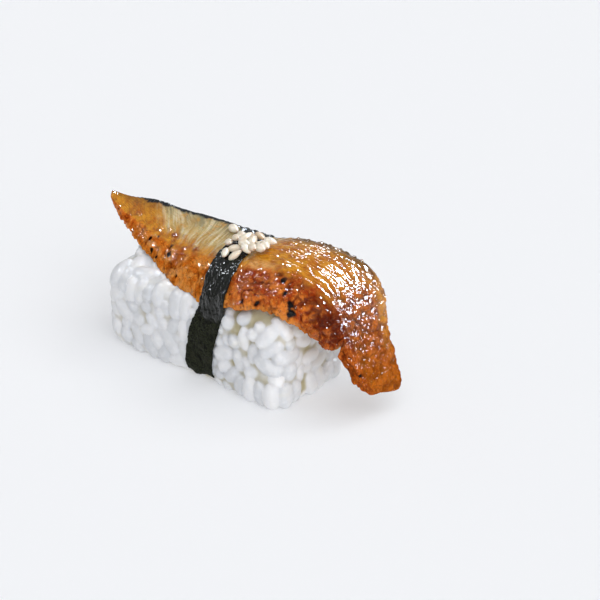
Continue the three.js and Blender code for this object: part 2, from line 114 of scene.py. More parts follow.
# %% Smooth lumps, sharp furrows and blisters
def corner_slopes(corners):
    """A fixed random direction for every corner of the grid."""
    i, j, k = (corners[..., axis].astype(np.int64) for axis in range(3))
    mixed = (i * 374761393 + j * 668265263 + k * 2147483647) & 0xFFFFFFFF
    slopes = []
    for turn in (1274126177, 2246822519, 3266489917):
        mixed = ((mixed ^ (mixed >> 13)) * turn) & 0xFFFFFFFF
        slopes.append((mixed ^ (mixed >> 16)) / 2147483648.0 - 1.0)
    return unit(np.stack(slopes, -1))


def lumps(points, size, seed=0):
    """Smooth bumps from about -1 to 1, one for every `size` millimetres."""
    scaled = points / size + seed * 19.7
    base = np.floor(scaled)
    inside = scaled - base
    ease = inside ** 3 * (inside * (6 * inside - 15) + 10)
    total = 0
    for corner in np.ndindex(2, 2, 2):
        step = np.array(corner)
        weight = np.prod(np.where(step == 1, ease, 1 - ease), axis=-1)
        total = total + weight * np.sum(corner_slopes(base + step) * (inside - step), axis=-1)
    return 1.6 * total


def furrows(points, size, width, seed):
    """Narrow furrows, 1 at the bottom and 0 between them, that wander about `size` millimetres apart."""
    return np.clip(1 - np.abs(lumps(points, size, seed)) / width, 0, 1)


def blisters(points, size, seed):
    """Round-topped bumps from 0 to 1 with sharp creases between them, about `size` millimetres apart."""
    scaled = points / size + seed * 19.7
    base = np.floor(scaled)
    nearest = np.full(points.shape[:-1], 9.0)
    for cell in np.ndindex(3, 3, 3):
        corner = base + np.array(cell) - 1
        seat = corner + 0.5 + 0.6 * corner_slopes(corner)
        nearest = np.minimum(nearest, np.sum((seat - scaled) ** 2, axis=-1))
    return np.clip(1 - nearest / 0.7, 0, 1)


def blend(low, high, values):
    """0 below `low`, 1 above `high`, and a smooth step between."""
    share = np.clip((values - low) / (high - low), 0, 1)
    return share * share * (3 - 2 * share)


sample = lumps(np.random.default_rng(1).uniform(0, 50, (4000, 3)), 3.0)
print("lumps from", round(float(sample.min()), 2), "to", round(float(sample.max()), 2))

# %% [markdown]
# ## A smooth curve through a few points
#
# The fillet is described by a handful of sections. A Catmull-Rom curve goes exactly through its points, so
# a measured place stays where it was measured, and its centripetal form doesn't overshoot where points are
# close.

# %% Curves through rows of points
def curve_through(knots, shares, closed=False):
    """Points at shares from 0 to 1 along a smooth curve through each row of knots."""
    count = knots.shape[-2]
    shares = np.asarray(shares, float)
    if closed:
        padded = np.concatenate([knots[..., -1:, :], knots, knots[..., :2, :]], axis=-2)
        place, last = shares * count, count - 1
    else:
        first = 2 * knots[..., :1, :] - knots[..., 1:2, :]
        end = 2 * knots[..., -1:, :] - knots[..., -2:-1, :]
        padded = np.concatenate([first, knots, end], axis=-2)
        place, last = shares * (count - 1), count - 2
    start = np.minimum(place.astype(int), last)
    p0, p1, p2, p3 = (padded[..., start + k, :] for k in range(4))
    steps = ((p0, p1), (p1, p2), (p2, p3))
    d0, d1, d2 = (np.sqrt(np.linalg.norm(b - a, axis=-1, keepdims=True)) for a, b in steps)
    leave = d1 * ((p1 - p0) / d0 - (p2 - p0) / (d0 + d1) + (p2 - p1) / d1)
    arrive = d1 * ((p2 - p1) / d1 - (p3 - p1) / (d1 + d2) + (p3 - p2) / d2)
    t = (place - start)[:, None]
    return ((2 * t**3 - 3 * t**2 + 1) * p1 + (t**3 - 2 * t**2 + t) * leave
            + (3 * t**2 - 2 * t**3) * p2 + (t**3 - t**2) * arrive)


# %% [markdown]
# ## Recipes for finishes
#
# Every finish is a small network of nodes round one Principled shader. The class below writes such networks
# in a cook's words. `grain` is noise of a size in millimetres, `strokes` is noise drawn out over the
# surface, and `veins` are thin lines in it. `ramp` turns a number into a range, and `both` and `either`
# join two shares. `mix` stirs one colour into another, `layers` lays several over a base, and `dent` makes
# small relief. Numbers that a mesh keeps for its points come in through `kept`. What is the same all over a
# surface, such as how smooth its coat is, is set on the shader itself.

# %% A short way to write finishes
def colour(red, green, blue):
    """A colour that is given as a screen shows it, from 0 to 255, turned into light."""
    share = np.array([red, green, blue]) / 255
    linear = np.where(share <= 0.04045, share / 12.92, ((share + 0.055) / 1.055) ** 2.4)
    return (*(float(value) for value in linear), 1.0)


class Recipe:
    """The nodes of one finish."""

    def __init__(self, name, **sockets):
        self.finish = bpy.data.materials.new(name)
        self.finish.use_nodes = True
        self.tree = self.finish.node_tree
        self.shader = self.tree.nodes["Principled BSDF"]
        self.place = self.tree.nodes.new("ShaderNodeTexCoord").outputs["Object"]
        for socket, value in sockets.items():
            self.shader.inputs[socket.replace("_", " ")].default_value = value

    def join(self, value, socket):
        """Puts a plain value or another node's output into a socket."""
        if isinstance(value, bpy.types.NodeSocket):
            self.tree.links.new(value, socket)
        else:
            socket.default_value = value

    def node(self, kind, inputs=(), **settings):
        """A new node, with its inputs and settings."""
        made = self.tree.nodes.new("ShaderNode" + kind)
        for key, value in settings.items():
            setattr(made, key, value)
        for key, value in dict(inputs).items():
            self.join(value, made.inputs[key])
        return made

    def kept(self, name):
        """A number that the mesh keeps for its points."""
        return self.node("Attribute", attribute_name=name).outputs["Fac"]

    def grain(self, size, detail=2.0, rough=0.5):
        """Noise from 0 to 1 with lumps of `size` millimetres."""
        knobs = {"Vector": self.place, "Scale": 1.0 / (size * MM), "Detail": detail, "Roughness": rough}
        return self.node("TexNoise", knobs).outputs["Fac"]

    def strokes(self, first, first_mm, second, second_mm, detail=2.0, rough=0.5):
        """Noise drawn out over the surface: its lumps are so long along two kept numbers in millimetres."""
        spans = {0: self.sums("DIVIDE", self.kept(first), first_mm),
                 1: self.sums("DIVIDE", self.kept(second), second_mm)}
        at = self.node("CombineXYZ", spans).outputs[0]
        knobs = {"Vector": at, "Scale": 1.0, "Detail": detail, "Roughness": rough}
        return self.node("TexNoise", knobs).outputs["Fac"]

    def veins(self, size, width):
        """1 on thin lines that wander like contour lines about `size` millimetres apart, and 0 between."""
        height = self.sums("ABSOLUTE", self.sums("SUBTRACT", self.grain(size, 4, rough=0.6), 0.5), 0.0)
        return self.ramp(height, 0.0, width, 1.0, 0.0)

    def ramp(self, value, low, high, to_low=0.0, to_high=1.0):
        """A number moved smoothly from one range into another, and held at the ends."""
        knobs = {"Value": value, "From Min": low, "From Max": high, "To Min": to_low, "To Max": to_high}
        return self.node("MapRange", knobs, interpolation_type="SMOOTHSTEP").outputs[0]

    def sums(self, how, a, b):
        """One step of arithmetic with two numbers."""
        return self.node("Math", {0: a, 1: b}, operation=how).outputs[0]

    def both(self, a, b):
        """A share that needs both of two shares: their product."""
        return self.sums("MULTIPLY", a, b)

    def either(self, a, b):
        """A share that either of two shares is enough for: the larger one."""
        return self.sums("MAXIMUM", a, b)

    def mix(self, share, a, b):
        """One colour at a share of 0, another at a share of 1."""
        return self.node("Mix", {"Factor": share, 6: a, 7: b}, data_type="RGBA").outputs[2]

    def layers(self, base, *layers):
        """Colours laid over a base one after another, each given as its share and its red, green and blue."""
        for share, tint in layers:
            base = self.mix(share, base, colour(*tint))
        return base

    def dent(self, height, depth, strength=1.0, over=None):
        """Small relief of `depth` millimetres, laid over what is already there."""
        knobs = {"Height": height, "Distance": depth * MM, "Strength": strength}
        if over is not None:
            knobs["Normal"] = over
        return self.node("Bump", knobs).outputs[0]

    def set(self, **sockets):
        """Sets sockets of the shader itself."""
        for socket, value in sockets.items():
            self.join(value, self.shader.inputs[socket.replace("_", " ")])


print("a colour in light:", [round(value, 3) for value in colour(200, 130, 50)])

# %% [markdown]
# ## The fillet: sections
#
# An eel is opened flat, grilled and glazed, and cut into long fillets. This one lies skin side away from
# us. A section through it shows a browned, craggy flank in front, a flat top of flesh, dark skin at the far
# edge, and a pale underside on the rice. The fillet is lofted through such sections, from its raised tip to
# its hanging end. They are the ones its solid was made from, so the two keep to the same lines, and differ
# only by their relief.

# %% The row of sections
# the near lower edge, the crease where the flank turns into the top, and the far upper edge, in millimetres,
# then how far the top is crowned and how thick the fillet is at its far edge
SECTIONS = [
    ((-40.1, 3.0, 23.9), (-40.6, 3.2, 25.3), (-41.1, 4.3, 26.2), 0.0, 1.3),
    ((-34.9, 0.5, 22.4), (-34.8, 1.6, 24.3), (-36.2, 5.2, 26.0), 0.1, 2.5),
    ((-27.4, -2.4, 21.9), (-27.1, 0.0, 24.1), (-28.6, 6.2, 27.2), 0.1, 3.8),
    ((-19.8, -5.0, 20.6), (-19.3, -1.6, 23.8), (-20.2, 7.0, 27.1), 0.1, 4.8),
    ((-11.2, -7.6, 18.9), (-10.5, -3.2, 24.0), (-11.0, 7.5, 27.9), 0.2, 5.6),
    ((-3.0, -9.3, 18.3), (-2.5, -4.0, 25.1), (-3.0, 7.8, 28.2), 0.3, 6.2),
    ((5.2, -10.4, 18.3), (4.6, -4.2, 27.0), (4.4, 8.3, 27.9), 0.8, 6.6),
    ((13.0, -10.6, 21.0), (12.8, -4.2, 27.8), (12.5, 11.4, 28.8), 1.5, 6.6),
    ((20.4, -9.2, 22.1), (20.5, -3.8, 28.6), (20.3, 13.2, 28.6), 1.7, 6.2),
    ((26.8, -6.6, 20.4), (27.3, -2.7, 26.8), (28.4, 13.8, 27.3), 1.4, 5.6),
    ((31.6, -4.5, 17.2), (32.5, -1.7, 22.7), (33.2, 13.4, 23.3), 0.9, 4.8),
    ((35.0, -3.4, 15.4), (35.3, -0.8, 18.4), (35.0, 12.7, 17.2), 0.7, 4.2),
    ((37.2, -3.1, 12.6), (37.6, -0.9, 14.4), (36.9, 12.0, 12.6), 0.6, 3.8),
    ((39.4, -2.2, 9.4), (40.2, 0.0, 9.0), (40.4, 11.0, 7.2), 0.5, 3.2),
    ((40.0, -1.2, 8.0), (40.7, 1.0, 6.9), (41.3, 10.2, 4.2), 0.3, 2.6),
]
SECTION_STEP = 0.22
near_knots, crease_knots, far_knots = (np.array([row[k] for row in SECTIONS]) for k in range(3))

evenly = np.linspace(0, 1, 2000)
middle_line = (curve_through(crease_knots, evenly) + curve_through(far_knots, evenly)) / 2
run = np.concatenate([[0], np.cumsum(np.linalg.norm(np.diff(middle_line, axis=0), axis=1))])
section_count = int(run[-1] / SECTION_STEP)
run_at = np.linspace(0, run[-1], section_count)
share_at = np.interp(run_at, run, evenly)
crown_at, thick_at = (np.interp(share_at * (len(SECTIONS) - 1), np.arange(len(SECTIONS)),
                                [row[k] for row in SECTIONS]) for k in (3, 4))
print(section_count, "sections along", round(float(run[-1]), 1), "mm of fillet")

# %% [markdown]
# ## The fillet: lofting
#
# Twelve guide points go round each section, and a closed curve joins them. The points of the finished mesh
# are crowded together on the flank and the top, where the relief shows, and wider apart beneath. The lower
# edge of the flank isn't straight: it is scalloped, and torn a little where the fillet starts to hang. To
# the right the far edge wanders a little as well.

# %% Rings round the fillet
SCALLOP, SCALLOP_SIZE = 0.55, 3.4
FRAY, FRAY_SIZE = 0.28, 1.1
TEAR_AT, TEAR_REACH, TEAR_DEPTH = 0.786, 0.016, 1.8
TUCK = 1.4
STEPS_ROUND = [16, 18, 18, 28, 30, 26, 6, 8, 10, 10, 8, 8]
GUIDES = len(STEPS_ROUND)

near, crease, far = (curve_through(knots, share_at) for knots in (near_knots, crease_knots, far_knots))
torn = np.maximum(1 - np.abs(share_at - TEAR_AT) / TEAR_REACH, 0)
cut_back = TEAR_DEPTH * torn + SCALLOP * lumps(near, SCALLOP_SIZE) + FRAY * lumps(near, FRAY_SIZE, 3)
near = near + unit(crease - near) * cut_back[:, None]
far_uneven = 0.35 * lumps(far, 3.2, 50) + 0.15 * lumps(far, 1.2, 51)
far = far + unit(far - crease) * (far_uneven * blend(6.0, 16.0, far[:, 0]))[:, None]

along = unit(np.gradient(crease, axis=0) + np.gradient(far, axis=0))
across = unit(far - crease)
above = unit(np.cross(along, across))
flank_out = unit(np.cross(near - crease, along))
flank_out *= np.where(np.sum(flank_out * across, -1, keepdims=True) > 0, -1, 1)
width = np.linalg.norm(far - crease, axis=-1, keepdims=True)
flank = np.linalg.norm(near - crease, axis=-1, keepdims=True)
crown, thick = crown_at[:, None], thick_at[:, None]


def between(start, end, share, way=0, amount=0):
    """Points a share of the way from start to end, moved by an amount along `way`."""
    return start + (end - start) * share + way * amount


far_low = far - above * thick - across * 0.06 * width
near_low = near + across * np.minimum(TUCK, 0.3 * width)
guides = np.stack([
    near,
    between(near, crease, 0.35, flank_out, 0.11 * flank),
    between(near, crease, 0.75, flank_out, 0.09 * flank),
    between(crease, far, 0.08, above, 0.35 * crown),
    between(crease, far, 0.36, above, crown),
    between(crease, far, 0.7, above, 0.9 * crown),
    far,
    between(far, far_low, 0.5, across, 0.12 * thick),
    far_low,
    between(far_low, near_low, 0.36),
    between(far_low, near_low, 0.7),
    near_low,
], axis=1)
guide_at = np.concatenate([guide + np.arange(steps) / steps for guide, steps in enumerate(STEPS_ROUND)])
rings = curve_through(guides, guide_at / GUIDES, closed=True)
print("rings of", rings.shape[1], "points")

# %% [markdown]
# ## The fillet: where each part of the skin begins
#
# Relief and colour both depend on where a point is, so each point gets a few plain numbers first: how far
# it is along the fillet, how far across the top from crease to far edge, and how far down the flank. From
# those come soft masks for the browned flank, the flesh, the dark skin and the hanging end.

# %% Zones of the surface
# guide_grid counts the guide points: 0 is the near lower edge, 3 lies just past the crease, 6 is the far
# edge, 8 lies below it, and 11 is back at the near side
TAIL_FROM, RIGHT_FROM = (68.0, 76.0), (8.0, 13.0)
guide_grid = np.broadcast_to(guide_at, rings.shape[:2])
run_grid = np.broadcast_to(run_at[:, None], rings.shape[:2])
x_grid = rings[..., 0]
top_share = np.clip((guide_grid - 2.8) / 3.2, 0, 1)
top_mm = top_share * width + np.clip((guide_grid - 6.0) / 2.0, 0, 1) * thick
on_flank = np.clip(guide_grid / 2.8, 0, 1)
tucked_under = np.clip((guide_grid - 11.2) / 0.8, 0, 1) * 0.2
flank_share = np.where(guide_grid > 8, tucked_under, on_flank)

is_flank = np.maximum(1 - blend(2.3, 3.05, guide_grid), blend(11.0, 11.6, guide_grid))
is_top = blend(2.5, 3.1, guide_grid) * (1 - blend(5.9, 6.3, guide_grid))
is_hidden = blend(6.4, 8.0, guide_grid) * (1 - blend(11.0, 11.7, guide_grid))
is_tail = blend(*TAIL_FROM, run_grid)
is_right = blend(*RIGHT_FROM, x_grid)
print("it begins to hang near x", round(float(np.interp(TAIL_FROM[0], run_at, crease[:, 0])), 1), "mm")

# %% [markdown]
# ## The fillet: relief
#
# The flank is charred flesh: lumps of several sizes, cracked, with crumbs low down and small folds higher
# up. The flesh of the top left lies in slanted flakes. To the right the glaze has been brushed along the
# fillet and has set in streaks, which is what breaks its highlights into strokes. The hanging end is
# wrinkled across. All this is mostly noise, much of it stretched in its own direction, that moves the points
# outwards or inwards. The flakes have a slanted wave besides, the drops of glaze are small domes at chosen
# places, and the last edge is made ragged by moving its points along the fillet.

# %% The way out, and a flat map of the fillet
def outward_of(rings):
    """The outward direction at every point of a stack of closed rings."""
    lengthwise = np.gradient(rings, axis=0)
    round_it = np.roll(rings, -1, axis=1) - np.roll(rings, 1, axis=1)
    ways = unit(np.cross(lengthwise, round_it))
    centre = rings.mean(axis=1, keepdims=True)
    inwards = np.sum(ways * (rings - centre)) < 0
    return -ways if inwards else ways


outward = outward_of(rings)
from_crease = np.where(guide_grid < 3, -flank_share * flank, top_mm)
flat_map = np.stack([run_grid, from_crease, np.zeros_like(run_grid)], -1)
print("the map reaches", round(float(top_mm.max()), 1), "mm up from the crease")

# %% Crags, crumbs and folds on the flank
wandering = rings + 0.5 * np.stack([lumps(rings, 1.8, 30 + axis) for axis in range(3)], -1)
crumbly = 1 - blend(0.2, 0.65, flank_share)
folds = (0.20 * lumps(flat_map * [0.55, 1.0, 1], 0.9, 35)
         - 0.16 * furrows(flat_map * [0.5, 1.0, 1], 1.8, 0.16, 36)
         + 0.12 * (blisters(wandering, 1.1, 37) - 0.5))
crumbs = 0.24 * (blisters(wandering, 0.85, 4) - 0.5) + 0.20 * (blisters(wandering, 1.5, 3) - 0.5)
crags = (0.28 * lumps(rings, 2.8, 1) + 0.24 * lumps(rings, 5.5, 2) + 0.15 * lumps(rings, 0.9, 4)
         + 0.12 * (blisters(wandering, 0.6, 38) - 0.5)
         - 0.28 * furrows(rings, 3.4, 0.12, 5) - 0.12 * furrows(rings, 1.7, 0.15, 6)
         + crumbs * crumbly + folds * (1 - crumbly))
crags = crags * (0.65 + 0.35 * is_right)
print("crags from", round(float(crags.min()), 2), "to", round(float(crags.max()), 2), "mm")

# %% Flakes, streaks and wrinkles on the top
FLAKE_SPACING = 1.7
flake_lean = 0.95 * blend(8.0, 24.0, -x_grid)
flake_line = run_grid + flake_lean * top_mm + 0.5 * lumps(flat_map, 4.0, 7)
flakes = 0.06 * np.sin(2 * np.pi * flake_line / FLAKE_SPACING) * (0.5 + 0.5 * lumps(flat_map, 3.0, 8))
flakes = flakes + 0.12 * lumps(flat_map * [1, 0.5, 1], 3.0, 9) + 0.05 * lumps(flat_map, 0.8, 10)

streaks = (0.12 * lumps(flat_map * [0.25, 1.0, 1], 0.9, 10) + 0.16 * lumps(flat_map * [0.35, 1.0, 1], 2.2, 11)
           + 0.12 * lumps(flat_map * [0.5, 1.0, 1], 1.1, 12) + 0.07 * lumps(flat_map * [0.6, 1, 1], 0.6, 18)
           - 0.12 * furrows(flat_map * [0.4, 1.0, 1], 1.4, 0.14, 19))
wrinkles = (0.26 * lumps(flat_map * [1.0, 0.5, 1], 1.5, 13) + 0.24 * lumps(flat_map * [1.0, 0.6, 1], 3.6, 14)
            - 0.26 * furrows(flat_map * [1.0, 0.5, 1], 2.3, 0.13, 15)
            + 0.22 * (blisters(wandering, 1.1, 16) - 0.5)
            + 0.10 * lumps(rings, 0.7, 16) + 0.16 * (blisters(wandering, 0.7, 39) - 0.5))
print("wrinkles from", round(float(wrinkles.min()), 2), "to", round(float(wrinkles.max()), 2), "mm")

# %% Drops of glaze
DROP_HEIGHT, DROP_STRETCH, OUT_OF_REACH = 0.28, 1.3, 9
# drops of glaze, first on the left half and then along the far edge: millimetres along the fillet and up
# from the crease, size in millimetres, and how dark a stain it leaves from 0 to 1
DROPS = [
    (11.0, 1.5, 0.6, 0.2), (20.0, 1.5, 0.7, 0.1), (22.5, 2.9, 0.4, 0.1), (25.0, 2.2, 0.65, 1.0),
    (28.0, 3.4, 0.5, 0.3), (30.8, 0.2, 0.5, 0.5), (34.0, 1.2, 0.5, 0.8), (32.4, 2.2, 0.35, 0.1),
    (26.6, 1.0, 0.4, 0.5),
    (55.5, 14.9, 0.35, 0.0), (58.2, 16.1, 0.3, 0.0), (60.4, 16.3, 0.45, 0.0), (62.7, 16.6, 0.3, 0.0),
    (64.6, 16.0, 0.4, 0.0), (66.3, 16.2, 0.35, 0.0), (68.2, 15.8, 0.3, 0.0), (53.0, 14.4, 0.3, 0.0),
]
drops, drop_stains = np.zeros_like(run_grid), np.zeros_like(run_grid)
for run_mm, up_mm, size, dark in DROPS:
    away = np.hypot((run_grid - run_mm) / DROP_STRETCH, top_mm - up_mm) / size
    away = away + 0.35 * lumps(rings, 0.7, 29) + OUT_OF_REACH * (guide_grid > 6)
    drops = np.maximum(drops, np.sqrt(np.clip(1 - away ** 2, 0, 1)))
    drop_stains = np.maximum(drop_stains, dark * (1 - blend(0.6, 1.9, away)))
print(len(DROPS), "drops of glaze")

# %% Move every point by its relief
RAGGED_REACH = 6.0
top_relief = flakes * (1 - is_right) + streaks * is_right + DROP_HEIGHT * drops
top_relief = top_relief * (1 - is_tail) + wrinkles * is_tail
relief = crags * is_flank + top_relief * is_top + 0.12 * lumps(rings, 2.0, 17) * is_hidden
tapered = np.clip(thick / 3.0, 0.3, 1) * np.clip(flank / 3.0, 0.3, 1)
rings = rings + outward * (relief * tapered)[..., None]
ragged_end = 0.7 * lumps(rings, 3.0, 52) + 0.35 * lumps(rings, 1.3, 53)
ragged_end = ragged_end * blend(run[-1] - RAGGED_REACH, run[-1], run_grid)
rings = rings + along[:, None] * ragged_end[..., None]
print("relief from", round(float(relief.min()), 2), "to", round(float(relief.max()), 2), "mm")

# %% [markdown]
# ## The fillet: closing the ends
#
# A loft is an open tube. Each end is closed by a few more rings that shrink towards the middle of the last
# one along a quarter circle, and a fan of triangles closes the small hole that is left.

# %% Rounded ends and the finished surface
END_BULGE, END_FULLNESS, END_RINGS = 0.7, 0.8, 5


def end_rings(last, before):
    """Rings that round off the end of the fillet beyond its last ring."""
    middle = last.mean(axis=0)
    beyond = unit(middle - before.mean(axis=0))
    turns = np.linspace(0, np.pi / 2, END_RINGS + 2)[1:-1]
    return [middle + (last - middle) * math.cos(turn) ** END_FULLNESS + beyond * END_BULGE * math.sin(turn)
            for turn in turns]


start_cap = end_rings(rings[0], rings[1])[::-1]
end_cap = end_rings(rings[-1], rings[-2])
all_rings = np.concatenate([start_cap, rings, end_cap])
ring_count, round_count = all_rings.shape[:2]
fillet_points = np.concatenate([all_rings.reshape(-1, 3), [all_rings[0].mean(0)], [all_rings[-1].mean(0)]])
start_middle, end_middle = len(fillet_points) - 2, len(fillet_points) - 1
fillet_faces = grid_faces(ring_count, round_count, loop=True)[:, ::-1].tolist()
for j in range(round_count):
    following = (j + 1) % round_count
    last_row = (ring_count - 1) * round_count
    fillet_faces.append([start_middle, j, following])
    fillet_faces.append([end_middle, last_row + following, last_row + j])

solid_low, solid_high = (np.array(corner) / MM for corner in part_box("eel"))
own_low, own_high = fillet_points.min(0), fillet_points.max(0)
offset[:2] = ((solid_low + solid_high - own_low - own_high) / 2)[:2]
fillet_tree = tree_of(fillet_points, fillet_faces)
print("offset to the frame in mm:", offset.round(2), "size", (own_high - own_low).round(1))
print("its solid's size", (solid_high - solid_low).round(1))

# %% [markdown]
# ## The fillet: where it is browned, pale, glazed and charred
#
# A photograph of grilled eel is mostly a map of how hot each spot was. The masks below say so for every
# point: the flank is browned, and its border on the top is ragged. The flesh of the top left stays pale,
# with a band of amber glaze beside the flank. Dark skin shows as a thin rim along the far edge. A few spots
# of the flank are burnt black: they lie at measured places, and noise frays their outlines.
# Two masks paint shade: the hollows of the relief and the crease above the hanging end are coloured darker.

# %% Where it is browned, has skin, or is pale
SKIN_WIDTH = 1.25
# how far the amber glaze reaches up the top from the crease, in millimetres, at places along X
AMBER_PLACES = [-32.0, -28.5, -25.3, -19.5, -10.7, -5.0, 3.0]
AMBER_WIDTHS = [9.0, 7.5, 5.2, 2.7, 2.8, 1.9, 1.0]
ragged = 0.30 * lumps(rings, 3.0, 20) + 0.18 * lumps(rings, 1.2, 21)
brown_up_to = np.interp(x_grid, [-12.0, 4.0, 15.0, 23.0], [2.15, 2.35, 2.4, 2.7])
browned = np.maximum(1 - blend(0.0, 0.55, guide_grid - brown_up_to + ragged), blend(10.8, 11.4, guide_grid))
edge_mm = (1 - top_share) * width
skin_wide = SKIN_WIDTH * blend(-36.0, -29.0, x_grid) * (1 - blend(8.0, 14.0, x_grid))
skin_wide = skin_wide * (1 + 0.5 * lumps(rings, 2.6, 22))
skin_rim = 1 - blend(-0.35, 0.35, edge_mm - skin_wide + 0.35 * lumps(rings, 0.8, 23))
skin_side = blend(5.95, 6.25, guide_grid) * (1 - blend(8.2, 9.0, guide_grid))
skin = np.clip(skin_rim * is_top * (1 - is_tail) + skin_side, 0, 1)
amber_wide = np.interp(x_grid, AMBER_PLACES, AMBER_WIDTHS)
streaky = np.stack([flake_line, 0.2 * top_mm, np.zeros_like(top_mm)], -1)
pale = blend(-2.0, 2.2, top_mm - amber_wide + 1.8 * lumps(streaky, 1.2, 24) + 0.8 * lumps(rings, 1.6, 25))
pale = pale * blend(-33.0, -23.0, x_grid) * (1 - blend(7.0, 12.0, x_grid)) * is_top
print("share browned", round(float(browned.mean()), 2), "pale", round(float(pale.mean()), 2))

# %% Where it is burnt, hollow, dark or bare
# burnt spots: millimetres along the fillet, share of the way up the flank, and size in millimetres
BURNT = [
    (19.5, 0.62, 0.55), (21.3, 0.95, 0.5), (22.4, 0.30, 0.6), (25.0, 0.25, 0.5), (27.0, 0.92, 0.75),
    (28.2, 0.62, 0.8), (34.0, 0.30, 0.5), (49.8, 0.15, 0.5), (55.7, 0.20, 0.6), (59.5, 0.20, 0.75),
    (61.2, 0.95, 0.85), (62.8, 0.84, 0.8), (64.6, 0.60, 0.55), (67.0, 0.44, 0.85), (67.8, 0.27, 1.15),
    (90.5, 0.85, 0.5),
]
burnt = np.zeros_like(run_grid)
for run_mm, up_flank, size in BURNT:
    away = np.hypot(run_grid - run_mm, (flank_share - up_flank) * flank)
    spot = 1 - blend(0.55, 1.1, away / size + 0.5 * lumps(rings, 0.9, 26))
    burnt = np.maximum(burnt, spot * is_flank)
# 0 in the hollows of the relief and 1 on its bumps; the finish paints the hollows darker, as painted shade
hollow = np.clip(0.5 + relief / 1.1, 0, 1)
# painted shade makes the flank darkest in the crease above the hanging end; it is reddest just right of the
# nori
crease_shade = np.exp(-((guide_grid - 2.7) / 0.55) ** 2)
crease_shade = crease_shade * blend(57.0, 64.0, run_grid) * (1 - blend(78.0, 86.0, run_grid))
reddened = blend(43.0, 47.0, run_grid) * (1 - blend(56.0, 63.0, run_grid))
reddened = reddened * blend(0.25, 0.6, flank_share) * is_flank
peach = blend(50.0, 53.0, run_grid) * (1 - blend(56.0, 61.0, run_grid)) * (1 - blend(1.2, 3.2, top_mm))
low_rim = (1 - blend(0.02, 0.22, flank_share + 0.08 * lumps(rings, 1.6, 27))) * is_flank
print(len(BURNT), "burnt spots over", round(100 * float(burnt.mean()), 1), "percent of the skin")

# %% The numbers that every point keeps
def with_ends(grid):
    """The numbers of the rings, carried on over both rounded ends."""
    rows = np.concatenate([grid[:1]] * END_RINGS + [grid] + [grid[-1:]] * END_RINGS)
    return np.concatenate([rows.ravel(), [grid[0].mean(), grid[-1].mean()]])


fillet_numbers = {
    "browned": browned, "skin": skin, "pale": pale, "burnt": burnt, "hollow": hollow, "low_rim": low_rim,
    "right": is_right, "tail": is_tail, "hidden": is_hidden, "crease_shade": crease_shade, "peach": peach,
    "reddened": reddened, "drop_stains": drop_stains, "top_share": top_share, "flake_mm": flake_line,
    "run_mm": run_grid, "top_mm": top_mm,
}
fillet_numbers = {key: with_ends(grid) for key, grid in fillet_numbers.items()}
print(len(fillet_numbers), "numbers for each point")

# %% [markdown]
# ## The fillet: its finish
#
# The colours are laid over each other, each within its mask: amber glaze with pale flesh on the left, rust
# on the flank, a darker hanging end, a light underside, dark skin along the far edge, and black where it
# burnt. The flesh itself has no gloss. The glaze has it all: it is the shader's coat, a thin clear layer,
# whole on the top, in patches on the flank, and weak on the hanging end. Fine grain, the brushed streaks and
# the cracks are small relief.

# %% The noises of grilled flesh
eel = Recipe("grilled_eel", Roughness=0.42, Specular_IOR_Level=0.0, Coat_Roughness=0.05, Coat_IOR=1.5,
             Subsurface_Weight=0.12, Subsurface_Scale=0.0012, Subsurface_Radius=(1.0, 0.35, 0.12))
finest, fine = eel.grain(0.3, 4, rough=0.7), eel.grain(0.6, 5, rough=0.7)
coarse, broad = eel.grain(2.2, 4), eel.grain(6.0, 2)
specks = eel.grain(0.4, 3, rough=0.7)
cracked, crazed = eel.veins(2.6, 0.022), eel.veins(1.1, 0.03)
flakes_seen = eel.strokes("flake_mm", 0.9, "top_mm", 5.0, 3)
flakes_fine = eel.strokes("flake_mm", 0.35, "top_mm", 3.0, 2)
brush_marks = eel.strokes("run_mm", 2.8, "top_mm", 0.36, 4, 0.62)
set_glaze = eel.strokes("run_mm", 2.0, "top_mm", 0.32, 1.3, 0.5)
print(len(eel.tree.nodes), "nodes so far")

# %% Pale flesh
near_skin = eel.both(eel.ramp(eel.kept("top_share"), 0.45, 0.95), eel.ramp(flakes_seen, 0.6, 0.4, 0.15, 0.9))
flesh = eel.mix(eel.ramp(broad, 0.35, 0.65), colour(214, 186, 124), colour(198, 158, 84))
flesh = eel.layers(
    flesh,
    (eel.ramp(flakes_seen, 0.46, 0.66, 0.0, 0.7), (234, 222, 188)),
    (eel.ramp(flakes_seen, 0.48, 0.34, 0.0, 0.4), (170, 134, 68)),
    (eel.ramp(flakes_fine, 0.52, 0.7, 0.0, 0.4), (240, 232, 206)),
    (near_skin, (126, 128, 104)),
    (eel.ramp(coarse, 0.52, 0.68, 0.0, 0.6), (212, 152, 62)),
)
print("pale flesh with its flakes")

# %% Amber glaze, olive towards the far edge
mostly_right = eel.ramp(eel.kept("right"), 0.0, 1.0, 0.35, 1.0)
brushed_light = eel.both(eel.ramp(brush_marks, 0.5, 0.72, 0.0, 0.6), mostly_right)
brushed_dark = eel.both(eel.ramp(brush_marks, 0.46, 0.3, 0.0, 0.6), mostly_right)
ochre = eel.both(eel.ramp(eel.kept("top_share"), 0.3, 0.9), eel.ramp(eel.kept("right"), 0.0, 0.5, 0.7, 0.0))
bare_patch = eel.both(eel.kept("peach"), eel.ramp(coarse, 0.4, 0.6, 0.4, 0.9))
amber = eel.mix(eel.ramp(coarse, 0.35, 0.65), colour(182, 102, 4), colour(220, 148, 28))
amber = eel.layers(
    amber,
    (brushed_light, (230, 172, 62)),
    (brushed_dark, (158, 78, 0)),
    (ochre, (146, 98, 26)),
    (bare_patch, (232, 172, 104)),
    (eel.ramp(broad, 0.54, 0.7, 0.0, 0.4), (178, 88, 2)),
)
olive = eel.mix(eel.ramp(brush_marks, 0.4, 0.65), colour(84, 54, 12), colour(146, 104, 40))
far_band = eel.both(eel.ramp(eel.kept("top_share"), 0.62, 0.92), eel.kept("right"))
